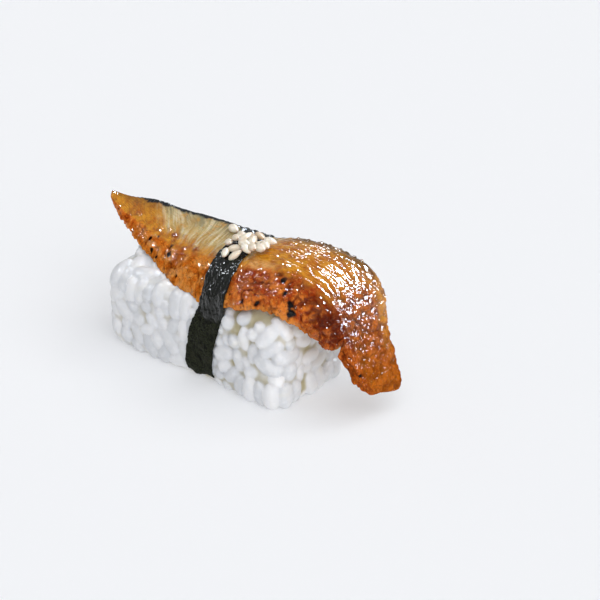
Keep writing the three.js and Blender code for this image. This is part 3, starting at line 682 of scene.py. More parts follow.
far_band = eel.both(far_band, eel.ramp(eel.kept("run_mm"), 72.0, 80.0, 1.0, 0.0))
amber = eel.mix(far_band, amber, olive)
print("amber glaze, brushed light and dark")

# %% The rust-coloured flank
rust = eel.mix(eel.ramp(coarse, 0.36, 0.62), colour(176, 70, 20), colour(236, 134, 46))
golden = eel.mix(eel.ramp(coarse, 0.36, 0.62), colour(204, 104, 28), colour(240, 156, 66))
tip_share = eel.ramp(eel.kept("run_mm"), 8.0, 19.0, 0.9, 0.0)
# painted shade in the crease above the hanging end, made patchy with noise
painted_crease_shade = eel.both(eel.kept("crease_shade"), eel.ramp(coarse, 0.35, 0.6, 0.2, 0.75))
rust = eel.mix(eel.either(eel.kept("right"), tip_share), golden, rust)
rust = eel.layers(
    rust,
    (eel.both(eel.kept("reddened"), 0.6), (140, 42, 12)),
    (eel.ramp(fine, 0.5, 0.7, 0.0, 0.75), (236, 146, 44)),
    # painted shade: darker in the hollows of the relief
    (eel.ramp(eel.kept("hollow"), 0.46, 0.2, 0.0, 0.7), (92, 26, 4)),
    (eel.ramp(finest, 0.46, 0.3, 0.0, 0.5), (120, 44, 6)),
    (eel.ramp(broad, 0.54, 0.66, 0.0, 0.3), (126, 38, 6)),
    (eel.both(eel.kept("low_rim"), 0.75), (226, 144, 58)),
    (painted_crease_shade, (92, 22, 4)),
    (eel.both(cracked, eel.ramp(fine, 0.42, 0.6, 0.05, 0.75)), (70, 20, 4)),
    (eel.both(crazed, eel.ramp(coarse, 0.5, 0.62, 0.0, 0.45)), (96, 34, 8)),
    (eel.ramp(specks, 0.68, 0.75, 0.0, 0.8), (36, 12, 6)),
)
print("a browned flank with cracks and specks")

# %% The hanging end
not_lowest = eel.ramp(eel.kept("run_mm"), 80.0, 90.0, 0.7, 0.0)
tail_far = eel.both(eel.ramp(eel.kept("top_share"), 0.66, 0.86), not_lowest)
tail = eel.mix(eel.ramp(coarse, 0.36, 0.62), colour(104, 32, 6), colour(180, 82, 18))
tail = eel.layers(
    tail,
    (eel.ramp(fine, 0.5, 0.7, 0.0, 0.65), (214, 122, 34)),
    # painted shade: darker in the hollows of the wrinkles
    (eel.ramp(eel.kept("hollow"), 0.52, 0.26, 0.0, 0.85), (82, 22, 2)),
    (eel.both(eel.either(crazed, cracked), 0.65), (80, 24, 6)),
    (eel.ramp(finest, 0.46, 0.3, 0.0, 0.45), (96, 34, 8)),
    (eel.both(tail_far, eel.ramp(coarse, 0.35, 0.55, 0.35, 1.0)), (210, 148, 58)),
    # painted shade: the crease's darkening carried on into the hanging end
    (eel.both(eel.kept("crease_shade"), 0.6), (78, 22, 6)),
    (eel.ramp(eel.kept("run_mm"), 80.0, 93.0, 0.0, 0.25), (200, 108, 24)),
)
print("a dark, wrinkled end")

# %% All of them, each in its place
surface = eel.mix(eel.kept("browned"), eel.mix(eel.kept("pale"), amber, flesh), rust)
surface = eel.layers(surface, (eel.both(eel.kept("drop_stains"), 0.8), (122, 36, 2)))
surface = eel.mix(eel.both(eel.kept("tail"), 0.85), surface, tail)
underside = eel.mix(eel.ramp(fine, 0.35, 0.7), colour(170, 116, 56), colour(204, 158, 98))
surface = eel.mix(eel.kept("hidden"), surface, underside)
dark_skin = eel.mix(eel.ramp(fine, 0.56, 0.76), colour(20, 23, 27), colour(104, 110, 112))
past_band = eel.ramp(eel.kept("run_mm"), 44.0, 66.0, 0.0, 0.75)
glazed_over = eel.sums("ADD", past_band, eel.ramp(coarse, 0.35, 0.65, -0.25, 0.25))
dark_skin = eel.mix(eel.both(glazed_over, eel.kept("right")), dark_skin, olive)
surface = eel.mix(eel.kept("skin"), surface, dark_skin)
surface = eel.layers(surface, (eel.kept("burnt"), (16, 10, 8)))
print(len(eel.tree.nodes), "nodes by now")

# %% Small relief and the glaze
slick = eel.sums("SUBTRACT", 1.0, eel.either(eel.kept("browned"), eel.ramp(eel.kept("run_mm"), 78.0, 88.0)))
grain_relief = eel.dent(eel.both(fine, eel.ramp(slick, 0.2, 0.8, 1.0, 0.1)), 0.40)
brush_relief = eel.dent(eel.both(set_glaze, slick), 0.42, over=grain_relief)
cracked_relief = eel.dent(eel.both(cracked, -1.0), 0.14, 0.6, over=brush_relief)
moist = eel.both(eel.kept("right"), eel.ramp(fine, 0.4, 0.6, 0.0, 0.8))
glazed = eel.either(slick, eel.either(moist, eel.ramp(coarse, 0.45, 0.62, 0.0, 0.7)))
glazed = eel.both(glazed, eel.ramp(eel.kept("run_mm"), 76.0, 92.0, 1.0, 0.25))
eel.set(Base_Color=surface, Normal=cracked_relief, Coat_Weight=glazed,
        Roughness=eel.ramp(fine, 0.3, 0.7, 0.36, 0.6))
fillet = make_piece("eel_fillet", fillet_points, fillet_faces, eel.finish, fillet_numbers)
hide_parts("eel")

# %% [markdown]
# ## The rice: the heap and its surface
#
# Sushi rice is pressed just enough to hold: the grains of the surface keep their shape and stick to each
# other, and one looks into dim gaps between them. So the heap is a rounded block that says where the
# surface is, a slightly smaller core that closes the view, and loose grains that are packed against the
# surface from inside. On top, the block rises to meet the fillet; rays shot up from the block measure how
# far.

# %% The heap
HEAP_LENGTH, HEAP_WIDTH, HEAP_HEIGHT = 51.8, 24.6, 19.4
HEAP_RADIUS, HEAP_MIDDLE, HEAP_TURN = 4.8, -0.6, math.radians(3)
PRESSED_FLAT, MOST_DIP, MOST_RISE = 1.6, -2.5, 3.6
WAIST, WAIST_AT, WAIST_WIDE = 0.7, 3.0, 7.5
heap_half = np.array([HEAP_LENGTH, HEAP_WIDTH, HEAP_HEIGHT + PRESSED_FLAT]) / 2
RISE_CELL = 1.0
rise_x, rise_y = np.arange(-30, 31, RISE_CELL), np.arange(-16, 17, RISE_CELL)


def rise_under_fillet(x, y):
    """How far the heap has to rise at a place to touch the fillet over it, or less than 0 where it dips."""
    hit = fillet_tree.ray_cast(Vector((x, y, HEAP_HEIGHT / 2)), Vector((0, 0, 1)))
    return 0.0 if hit[0] is None else float(np.clip(hit[0].z - HEAP_HEIGHT, MOST_DIP, MOST_RISE))


rise_map = np.array([[rise_under_fillet(x, y) for y in rise_y] for x in rise_x])
for _ in range(3):
    padded = np.pad(rise_map, 1, mode="edge")
    rise_map = sum(padded[i:i + len(rise_x), j:j + len(rise_y)] for i in range(3) for j in range(3)) / 9


def rise_at(x, y):
    """The rise of the heap anywhere, read between the places where it was measured."""
    u = np.clip((x - rise_x[0]) / RISE_CELL, 0, len(rise_x) - 1.001)
    v = np.clip((y - rise_y[0]) / RISE_CELL, 0, len(rise_y) - 1.001)
    i, j = u.astype(int), v.astype(int)
    a, b = u - i, v - j
    return ((1 - a) * (1 - b) * rise_map[i, j] + a * (1 - b) * rise_map[i + 1, j]
            + (1 - a) * b * rise_map[i, j + 1] + a * b * rise_map[i + 1, j + 1])


print("the heap rises up to", round(float(rise_map.max()), 1), "mm to meet the fillet")

# %% How far outside the heap a point is
def heap_surface(points):
    """How far each point is outside the heap (less than 0 inside), and the way out."""
    local = points - [HEAP_MIDDLE, 0, 0]
    c, s = math.cos(HEAP_TURN), math.sin(HEAP_TURN)
    x, y = c * local[..., 0] + s * local[..., 1], c * local[..., 1] - s * local[..., 0]
    middle_z = heap_half[2] - PRESSED_FLAT
    level = np.clip((local[..., 2] - middle_z) / heap_half[2], 0, 1)
    z = local[..., 2] - middle_z - level * rise_at(points[..., 0], points[..., 1])
    pull = WAIST * np.exp(-(((points[..., 0] - WAIST_AT) / WAIST_WIDE) ** 2))
    folded = np.stack([x, y * (1 + pull / heap_half[1]), z], -1)
    over = np.abs(folded) - (heap_half - HEAP_RADIUS)
    outer = np.maximum(over, 0)
    away = np.linalg.norm(outer, axis=-1) + np.minimum(over.max(-1), 0) - HEAP_RADIUS
    nearest_face = (over == over.max(-1, keepdims=True)).astype(float)
    way = unit(np.where(np.any(outer > 0, -1, keepdims=True), outer, nearest_face)) * np.sign(folded)
    way_x, way_y, way_z = (way[..., axis] for axis in range(3))
    return away, np.stack([c * way_x - s * way_y, s * way_x + c * way_y, way_z], -1)


middle_away, _ = heap_surface(np.array([[HEAP_MIDDLE, 0, HEAP_HEIGHT / 2]]))
print("the middle of the heap lies", round(-float(middle_away[0]), 1), "mm below its surface")

# %% [markdown]
# ## The rice: sowing and settling the grains
#
# Grains that are strewn at random cross each other. Here every grain is first sown on the surface, no
# nearer than a set distance to the next, and then the heap is allowed to settle: again and again each pair
# that overlaps is pushed apart and turned a little, and each grain is pressed back against the surface from
# inside. For this a grain is a short rod with a thickness, whose nearest distance to another rod is quick
# to work out. About half the outer grains lie flat, a third lean, and the rest stand more or less on end. A
# second layer lies flat, deeper down, and fills the gaps.

# %% Sow the grains
SOW_SPACING, SOWING_TRIES, SOWN_FROM, SOWN_TO = 2.85, 40000, [-31, -17, 1.0], [30, 17, 25.5]
SOWN_OUTSIDE, SOWN_INSIDE, NEAR_ENOUGH, LOWEST_SOWN, LEAST_UPWARD = 1.3, 3.4, 0.2, 1.0, -0.6
# grains that the photograph shows end on, beside the band: millimetres along X, Y and up
SHOWN_ON_END = [(13.4, -10.6, 15.3), (18.6, -10.6, 16.6), (15.9, -10.6, 11.6)]


def sow(depth, seed, chosen=()):
    """Spots at a depth under the heap's surface, spread evenly between those already chosen."""
    spots = np.random.default_rng(seed).uniform(SOWN_FROM, SOWN_TO, (SOWING_TRIES, 3))
    for _ in range(6):
        away, way = heap_surface(spots)
        spots = spots - way * (away + depth)[:, None]
    away, way = heap_surface(spots)
    on_surface = np.abs(away + depth) < NEAR_ENOUGH
    spots = spots[on_surface & (spots[:, 2] > LOWEST_SOWN) & (way[:, 2] > LEAST_UPWARD)]
    chosen = np.array(chosen, float).reshape(-1, 3)
    for spot in spots:
        if len(chosen) == 0 or np.min(np.linalg.norm(chosen - spot, axis=1)) > SOW_SPACING:
            chosen = np.vstack([chosen, spot])
    return chosen


outer, inner = sow(SOWN_OUTSIDE, 3, SHOWN_ON_END), sow(SOWN_INSIDE, 4)
grain_middles = np.concatenate([outer, inner])
print(len(outer), "grains outside and", len(inner), "inside")

# %% How each grain lies
GRAIN_LENGTH, GRAIN_WIDTH, GRAIN_THICKNESS, PLUMP = 6.6, 3.9, 3.3, (0.86, 1.08)
OUTER_DEPTH, INNER_DEPTH = (1.2, 1.7), (3.1, 4.0)
# the share of the outer grains that lie flat, lean or stand on end, and how far each kind points outwards
LEANS = ((0.5, 0.0, 0.15), (0.32, 0.25, 0.55), (0.18, 0.7, 1.0))
rod_radius = 0.5 * (GRAIN_WIDTH + GRAIN_THICKNESS) / 2
rod_half = GRAIN_LENGTH / 2 - rod_radius
luck = np.random.default_rng(11)

kinds = np.searchsorted(np.cumsum([share for share, _, _ in LEANS]), luck.random(len(grain_middles)))
kinds[:len(SHOWN_ON_END)] = len(LEANS) - 1
leans = luck.uniform(*np.array([[low, high] for _, low, high in LEANS])[np.minimum(kinds, len(LEANS) - 1)].T)
leans[len(outer):] = 0
grain_depths = np.concatenate([np.tile(OUTER_DEPTH, (len(outer), 1)), np.tile(INNER_DEPTH, (len(inner), 1))])
grain_depths = grain_depths + (rod_half * leans)[:, None]
_, out = heap_surface(grain_middles)
sideways = unit(np.cross(luck.normal(size=grain_middles.shape), out))
grain_ways = unit(sideways * np.sqrt(1 - leans**2)[:, None] + out * leans[:, None])
plump = luck.uniform(*PLUMP, len(grain_middles))
print(int((leans > LEANS[-1][1]).sum()), "grains stand on end")

# %% Let them settle
SETTLING_ROUNDS = 90
# how near two grains may come, of their thickness, and how much of each push, turn, press and lean is
# made in one round
SQUEEZE, PUSH, TURN, PRESS, LEAN = 0.86, 0.6, 0.4, 0.8, 0.35


def settle(middles, ways, plump, depths, lean):
    """Pushes overlapping grains apart and presses them back against the surface."""
    for _ in range(SETTLING_ROUNDS):
        apart = middles[:, None] - middles[None]
        close = np.linalg.norm(apart, axis=-1) < 2 * (rod_half + rod_radius)
        a, b = np.nonzero(np.triu(close, 1))
        between_them, along_a, along_b = middles[a] - middles[b], ways[a], ways[b]
        half_a, half_b = rod_half * plump[a], rod_half * plump[b]
        alike = np.sum(along_a * along_b, -1)
        on_a, on_b = np.sum(along_a * between_them, -1), np.sum(along_b * between_them, -1)
        s = np.clip((alike * on_b - on_a) / np.maximum(1 - alike**2, 1e-4), -half_a, half_a)
        t = np.clip(alike * s + on_b, -half_b, half_b)
        s = np.clip(alike * t - on_a, -half_a, half_a)
        gap = between_them + along_a * s[:, None] - along_b * t[:, None]
        room = SQUEEZE * rod_radius * (plump[a] + plump[b])
        push = 0.5 * np.maximum(room - np.linalg.norm(gap, axis=-1), 0)
        shove = unit(gap) * push[:, None] * PUSH
        moved, turned = np.zeros_like(middles), np.zeros_like(ways)
        np.add.at(moved, a, shove)
        np.add.at(moved, b, -shove)
        np.add.at(turned, a, shove * (s / half_a**2)[:, None] * TURN)
        np.add.at(turned, b, -shove * (t / half_b**2)[:, None] * TURN)
        middles, ways = middles + moved, unit(ways + turned)
        away, out = heap_surface(middles)
        wanted = np.clip(-away, depths[:, 0], depths[:, 1])
        middles = middles - out * (away + wanted)[:, None] * PRESS
        tilt = np.sum(ways * out, -1, keepdims=True)
        ways = unit(ways + LEAN * (lean[:, None] - tilt) * out)
        middles[:, 2] = np.maximum(middles[:, 2], 0.9 * rod_radius + rod_half * np.abs(ways[:, 2]))
    return middles, ways


sown_at = grain_middles
grain_middles, grain_ways = settle(grain_middles, grain_ways, plump, grain_depths, leans)
print("moved by up to", round(float(np.linalg.norm(grain_middles - sown_at, axis=1).max()), 1), "mm")

# %% [markdown]
# ## The rice: the shape of a grain
#
# A cooked short grain is plump and blunt, slightly bent, and has a shallow notch at one end where the germ
# was. One such shape is made, and every grain is that shape stretched, bent and turned in its own way.

# %% Many grains from one pattern
GRAIN_SIDES, GRAIN_RINGS = 14, 10
BLUNT, BEND, UNEVEN, NOTCH, NOTCH_AT, NOTCH_WIDE = 2.6, 0.10, 0.035, 0.22, 0.78, 0.22


def grain_pattern():
    """Points and faces of a grain from -1 to 1 each way, its poles on the third axis."""
    levels = np.cos(np.linspace(0, np.pi, GRAIN_RINGS + 1))[1:-1]
    turns = np.linspace(0, 2 * np.pi, GRAIN_SIDES, endpoint=False)
    radius = (1 - np.abs(levels) ** BLUNT) ** (1 / BLUNT)
    ring = np.stack([np.cos(turns), np.sin(turns), np.zeros_like(turns)], -1)
    body = radius[:, None, None] * ring + np.array([0, 0, 1]) * levels[:, None, None]
    points = np.concatenate([body.reshape(-1, 3), [[0, 0, 1], [0, 0, -1]]])
    notch = np.exp(-(((points[:, 2] - NOTCH_AT) / NOTCH_WIDE) ** 2))
    points[:, 0] -= NOTCH * notch * np.clip(points[:, 0], 0, 1)
    sides = grid_faces(len(levels), GRAIN_SIDES, loop=True).tolist()
    return points, sides + pole_fans(len(levels), GRAIN_SIDES)


def pole_fans(rows, columns):
    """The triangles that close both ends of a stack of rings whose two poles are listed last."""
    first, last, bottom = rows * columns, rows * columns + 1, (rows - 1) * columns
    fans = []
    for j in range(columns):
        following = (j + 1) % columns
        fans.append([first, j, following])
        fans.append([last, bottom + following, bottom + j])
    return fans


def grain_axes(way, out):
    """The width, thickness and length axes of a grain, as rows."""
    side = unit(np.cross(out, way))
    return np.stack([side, np.cross(way, side), way])


pattern, pattern_faces = grain_pattern()
print(len(pattern), "points in a grain")

# %% Every grain in its own size, bend and place
sizes = np.stack([GRAIN_WIDTH * plump, GRAIN_THICKNESS * plump, GRAIN_LENGTH * plump], -1) / 2
bends = luck.uniform(-BEND, BEND, len(grain_middles))
_, grain_out = heap_surface(grain_middles)
grain_parts, grain_faces = [], []
for number, (middle, way, size) in enumerate(zip(grain_middles, grain_ways, sizes)):
    shape = pattern * size
    shape[:, 0] += bends[number] * size[2] * (pattern[:, 2] ** 2 - 0.4)
    shape *= 1 + UNEVEN * lumps(pattern * 1.3 + number * 3.1, 1.0)[:, None]
    grain_faces.extend([[index + len(pattern) * number for index in face] for face in pattern_faces])
    grain_parts.append(middle + shape @ grain_axes(way, grain_out[number]))
grain_points = np.concatenate(grain_parts)
print(len(grain_faces), "faces in the loose grains")

# %% [markdown]
# ## The rice: the core
#
# The core is the same rounded block, a little smaller, with bumps as large as grains. It is seen only as a dim
# depth between the grains, where starch has filled the gaps, and painted shade makes it darker and slightly
# yellow there.

# %% The core behind the grains
# how deep the core lies at the left and at the right, how uneven it is, and between which X it changes over
CORE_LEFT, CORE_RIGHT, CORE_UNEVEN, CHANGES_OVER = 0.40, 0.62, 0.35, (-6.0, 6.0)
CORE_CELLS = (50, 24, 20)


def block_pattern(cells):
    """Points and faces of a box from -1 to 1 each way, with a grid on every side."""
    points, faces = [], []
    for axis in range(3):
        a, b = (axis + 1) % 3, (axis + 2) % 3
        for side in (-1, 1):
            ticks = (np.linspace(-1, 1, cells[k] + 1) for k in (a, b))
            u, v = np.meshgrid(*ticks, indexing="ij")
            sheet = np.empty((u.size, 3))
            sheet[:, axis], sheet[:, a], sheet[:, b] = side, u.ravel(), v.ravel()
            quads = grid_faces(cells[a] + 1, cells[b] + 1, len(points))
            faces.extend((quads if side > 0 else quads[:, ::-1]).tolist())
            points.extend(sheet.tolist())
    unique, where = np.unique(np.array(points).round(6), axis=0, return_inverse=True)
    return unique, [[int(where.ravel()[index]) for index in face] for face in faces]


core_points, core_faces = block_pattern(CORE_CELLS)
core_points = core_points * heap_half + [HEAP_MIDDLE, 0, heap_half[2] - PRESSED_FLAT]
core_level = np.clip(core_points[:, 2] / HEAP_HEIGHT, 0, 1)
core_points[:, 2] += core_level * rise_at(core_points[:, 0], core_points[:, 1])
bumpy = CORE_LEFT + (CORE_RIGHT - CORE_LEFT) * blend(*CHANGES_OVER, core_points[:, 0])
bumpy = bumpy + CORE_UNEVEN * lumps(core_points, 4.5, 30)
for _ in range(8):
    away, way = heap_surface(core_points)
    core_points = core_points - way * (away + bumpy)[:, None]
print(len(core_faces), "faces in the core")

# %% [markdown]
# ## The rice: grains that stick together
#
# Pressed grains aren't loose beads: where they touch, starch joins them, and light wanders from one into
# the next. So grains and core are merged into one skin. Blender's voxel remesh does that: it fills the
# space inside with small cells and draws one surface round them all. Where that surface runs into the
# fillet, it is pressed inwards until it just clears it, and what stands proud of the heap is flattened, as
# the cook's hand does. Each point then remembers how deep it lies, and which grain is nearest to it.

# %% One skin round all the rice
SKIN_CELL, SOFTENED, SOFTENINGS = 0.29, 0.5, 2


def merged(points, faces, cell):
    """The outer skin of everything in a mesh, as one closed surface with faces of about the given size."""
    mesh = bpy.data.meshes.new("loose")
    mesh.from_pydata(points.tolist(), [], faces)
    loose = bpy.data.objects.new("loose", mesh)
    bpy.context.scene.collection.objects.link(loose)
    remesh = loose.modifiers.new("skin", "REMESH")
    remesh.mode, remesh.voxel_size = "VOXEL", cell
    soften = loose.modifiers.new("soften", "SMOOTH")
    soften.factor, soften.iterations = SOFTENED, SOFTENINGS
    done = loose.evaluated_get(bpy.context.evaluated_depsgraph_get()).to_mesh()
    skin_points = np.empty(3 * len(done.vertices))
    done.vertices.foreach_get("co", skin_points)
    skin_faces = [list(face.vertices) for face in done.polygons]
    bpy.data.objects.remove(loose)
    bpy.data.meshes.remove(mesh)
    return skin_points.reshape(-1, 3), skin_faces


core_listed_after = [[index + len(grain_points) for index in face] for face in core_faces]
loose_points = np.concatenate([grain_points, core_points])
rice_points, rice_faces = merged(loose_points, grain_faces + core_listed_after, SKIN_CELL)
print(len(rice_faces), "faces in the skin of the rice")

# %% Press the skin clear of the fillet, and flatten it
LOWEST_CONTACT, CONTACT_GAP = 12.0, 0.05
# how far out the pressing begins, and how much of what stands proud is left at the left and at the right
PRESSED_FROM, PRESSED_LEFT, PRESSED_RIGHT = -0.2, 0.52, 0.85
for number in np.nonzero(rice_points[:, 2] > LOWEST_CONTACT)[0]:
    point = rice_points[number]
    inwards = Vector(unit(np.array([0.0, -point[1], HEAP_HEIGHT / 2 - point[2]])))
    hit = fillet_tree.ray_cast(Vector(point), inwards)
    if hit[0] is not None and hit[1].dot(inwards) > 0:
        rice_points[number] = hit[0] + inwards * CONTACT_GAP
away, way = heap_surface(rice_points)
flattened = 1 - PRESSED_LEFT + (PRESSED_LEFT - PRESSED_RIGHT) * blend(*CHANGES_OVER, rice_points[:, 0])
rice_points -= way * (flattened * np.maximum(away - PRESSED_FROM, 0))[:, None]
rice_points[:, 2] = np.maximum(rice_points[:, 2], 0.0)
grain_tree = tree_of(grain_points, grain_faces)
tones_of_grains = luck.random(len(grain_middles))
owner = np.array([grain_tree.find_nearest(Vector(point))[2] for point in rice_points]) // len(pattern_faces)
rice_depth = -heap_surface(rice_points)[0]
print("the skin lies up to", round(float(rice_depth.max()), 1), "mm deep")

# %% [markdown]
# ## The nori: winding the band
#
# Nori is a sheet of pressed seaweed, thinner than card and soft where it is damp. A band of it is pulled
# round the piece: it spans every hollow and turns only where something holds it up. Rays shot inwards all
# round give the ground. Then each spot of the band is raised to the straight line between its neighbours,
# over and over, until the band is taut, and the rice below it is pressed in.

# %% How far out the band lies
BAND_WIDTH, BAND_AXIS_HEIGHT, BAND_END = 7.6, 11.0, math.radians(131)
# the band's middle along X in millimetres, at even steps from its near end over the top to its far end
BAND_MIDDLE = np.array([2.8, 3.6, 6.7, 5.4, 2.8, 0.9, 0.4, 0.3])
BAND_ROWS, BAND_COLUMNS, BEYOND, EVENED_OVER, SUNK_IN_RICE = 330, 50, 60.0, 30, 0.35

band_share = np.linspace(0, 1, BAND_ROWS)
band_angle = BAND_END * (2 * band_share - 1)
bell = np.hanning(2 * EVENED_OVER + 1)
bell = bell / bell.sum()
lean_at = np.interp(band_share, np.linspace(0, 1, len(BAND_MIDDLE)), BAND_MIDDLE)
lean_at = np.convolve(np.pad(lean_at, EVENED_OVER, mode="edge"), bell, mode="valid")
from_edge = np.linspace(-0.5, 0.5, BAND_COLUMNS)
outwards = np.stack([np.zeros(BAND_ROWS), np.sin(band_angle), np.cos(band_angle)], -1)
rice_tree = tree_of(rice_points, rice_faces)


def reach_of(x, out):
    """How far from the band's axis the outermost thing lies in a direction."""
    axis = Vector((x, 0, BAND_AXIS_HEIGHT))
    start = axis + Vector(out) * BEYOND
    fillet_hit, rice_hit = (tree.ray_cast(start, -Vector(out)) for tree in (fillet_tree, rice_tree))
    on_fillet = -BEYOND if fillet_hit[0] is None else BEYOND - fillet_hit[3]
    on_rice = -BEYOND if rice_hit[0] is None else BEYOND - rice_hit[3] - SUNK_IN_RICE
    return max(on_fillet, on_rice, 0.0)


def smooth(grid, rows, columns):
    """The grid with its numbers evened out over so many rows and columns."""
    for axis, span in ((0, rows), (1, columns)):
        weights = np.hanning(2 * span + 3)[1:-1]
        padded = np.pad(grid, [(span, span) if k == axis else (0, 0) for k in range(2)], mode="edge")
        grid = sum(weight * np.take(padded, np.arange(k, k + grid.shape[axis]), axis)
                   for k, weight in enumerate(weights / weights.sum()))
    return grid


print("the band leans over", round(float(np.ptp(lean_at)), 1), "mm along X")

# %% Pull it taut over the ground
TIGHTENING, PRESSED_IN, CLEAR_OF_GROUND, TAUT_SHARE = 2500, 0.25, 0.02, 0.6
ground = np.array([[reach_of(lean_at[i] + BAND_WIDTH * share, outwards[i]) for share in from_edge]
                   for i in range(BAND_ROWS)])
ground = np.maximum(smooth(ground, 5, 12), ground - PRESSED_IN)
taut = ground.copy()
chord = math.cos(band_angle[1] - band_angle[0])
for _ in range(TIGHTENING):
    before, after = taut[:-2], taut[2:]
    taut[1:-1] = np.maximum(ground[1:-1], 2 * before * after * chord / (before + after))
slack = smooth(TAUT_SHARE * taut + (1 - TAUT_SHARE) * smooth(ground, 14, 9), 4, 3)
slack = np.maximum(slack, ground + CLEAR_OF_GROUND)
print("the band lies", slack.min().round(1), "to", slack.max().round(1), "mm from its axis")

# %% [markdown]
# ## The nori: the sheet
#
# Over the hot, wet fillet the sheet has softened: it puckers into small creases that run along the band.
# Down the side of the rice it stays flatter, with the faint felt of its fibres. Its cut edges are nearly
# straight but nibbled. The sheet has two faces and a rim, a fifth of a millimetre apart.

# %% Both faces and the rim
SHEET_THICK, LIFT, NIBBLE, BAND_LENGTH, BAND_LOWEST = 0.22, 0.28, 0.20, 70, 0.15
# the shares of the band between which it goes up onto the fillet, and down from it
ONTO_FILLET, OFF_FILLET = (0.22, 0.28), (0.64, 0.70)
run_band = band_share * BAND_LENGTH


def nibbled(side):
    """How far a cut edge strays from straight, all along the band."""
    line = np.stack([run_band, np.full(BAND_ROWS, side), np.zeros(BAND_ROWS)], -1)
    return NIBBLE * lumps(line, 2.3, 40) + 0.5 * NIBBLE * lumps(line, 0.8, 41)


left_edge, right_edge = nibbled(0.0), nibbled(9.0)
widen = np.where(from_edge < 0, left_edge[:, None], right_edge[:, None]) * np.abs(2 * from_edge) ** 6
band_x = lean_at[:, None] + BAND_WIDTH * from_edge + widen
flat_band = np.stack([run_band[:, None] + 0 * band_x, band_x, 0 * band_x], -1)
on_fillet = (blend(*ONTO_FILLET, band_share) * (1 - blend(*OFF_FILLET, band_share)))[:, None]
puckers = (0.24 * lumps(flat_band * [0.5, 1, 1], 1.1, 42) + 0.16 * lumps(flat_band * [0.8, 1, 1], 0.6, 43)
           + 0.16 * lumps(flat_band, 2.2, 44) - 0.16 * furrows(flat_band * [0.6, 1, 1], 1.3, 0.16, 45))
felt = (0.10 * lumps(flat_band, 0.7, 46) + 0.16 * lumps(flat_band * [0.5, 1, 1], 2.6, 47)
        - 0.09 * furrows(flat_band, 2.1, 0.14, 48))
radius_grid = slack + LIFT + puckers * on_fillet + felt * (1 - 0.6 * on_fillet)
band_y, band_z = (outwards[:, axis:axis + 1] * radius_grid for axis in (1, 2))
band_middle = np.stack([band_x, band_y, BAND_AXIS_HEIGHT + band_z], -1)
band_out = unit(np.cross(np.gradient(band_middle, axis=1), np.gradient(band_middle, axis=0)))
band_out *= np.sign(np.sum(band_out * outwards[:, None]))
band_outside = band_middle + band_out * SHEET_THICK
band_points = np.concatenate([band_outside.reshape(-1, 3), band_middle.reshape(-1, 3)])
band_points[:, 2] = np.maximum(band_points[:, 2], BAND_LOWEST)
print(len(band_points), "points on both faces")

# %% Faces, and the rim that joins them
per_face = BAND_ROWS * BAND_COLUMNS
upper = grid_faces(BAND_ROWS, BAND_COLUMNS)
band_faces = upper.tolist() + (upper[:, ::-1] + per_face).tolist()
border = ([(i, 0) for i in range(BAND_ROWS)] + [(BAND_ROWS - 1, j) for j in range(1, BAND_COLUMNS)]
          + [(i, BAND_COLUMNS - 1) for i in range(BAND_ROWS - 2, -1, -1)]
          + [(0, j) for j in range(BAND_COLUMNS - 2, 0, -1)])
border = [i * BAND_COLUMNS + j for i, j in border]
for a, b in zip(border, border[1:] + border[:1]):
    band_faces.append([b, a, a + per_face, b + per_face])
print(len(band_faces), "faces in the band")

# %% Press the rice in below the band
BAND_CLEARANCE = 0.06
angle_of_rice = np.arctan2(rice_points[:, 1], rice_points[:, 2] - BAND_AXIS_HEIGHT)
row = np.clip((angle_of_rice / BAND_END + 1) / 2 * (BAND_ROWS - 1), 0, BAND_ROWS - 1.001)
row_low = row.astype(int)
column = ((rice_points[:, 0] - lean_at[row_low]) / BAND_WIDTH + 0.5) * (BAND_COLUMNS - 1)
below_band = (column > -1.5) & (column < BAND_COLUMNS + 0.5) & (np.abs(angle_of_rice) < BAND_END * 1.02)
inside_column = np.clip(column.round().astype(int), 0, BAND_COLUMNS - 1)
row_high = np.minimum(row_low + 1, BAND_ROWS - 1)
limit = np.minimum(radius_grid[row_low, inside_column], radius_grid[row_high, inside_column]) - BAND_CLEARANCE
from_axis = np.hypot(rice_points[:, 1], rice_points[:, 2] - BAND_AXIS_HEIGHT)
too_far = below_band & (from_axis > limit)
shrink = np.where(too_far, limit / np.maximum(from_axis, 1e-6), 1.0)
rice_points[:, 1] *= shrink
rice_points[:, 2] = BAND_AXIS_HEIGHT + (rice_points[:, 2] - BAND_AXIS_HEIGHT) * shrink
print(int(too_far.sum()), "points of the rice pressed in by at most",
      round(float(((1 - shrink) * from_axis).max()), 2), "mm")

# %% [markdown]
# ## The rice: its finish
#
# Cooked rice is white because it is full of water and starch that scatter light inside the grain. That is what
# the shader's subsurface light does, over about two millimetres, and a thin wet coat gives each grain its
# small soft gloss. The gaps are painted darker and warmer than the grains, as painted shade: the deeper a
# point lies, the more.

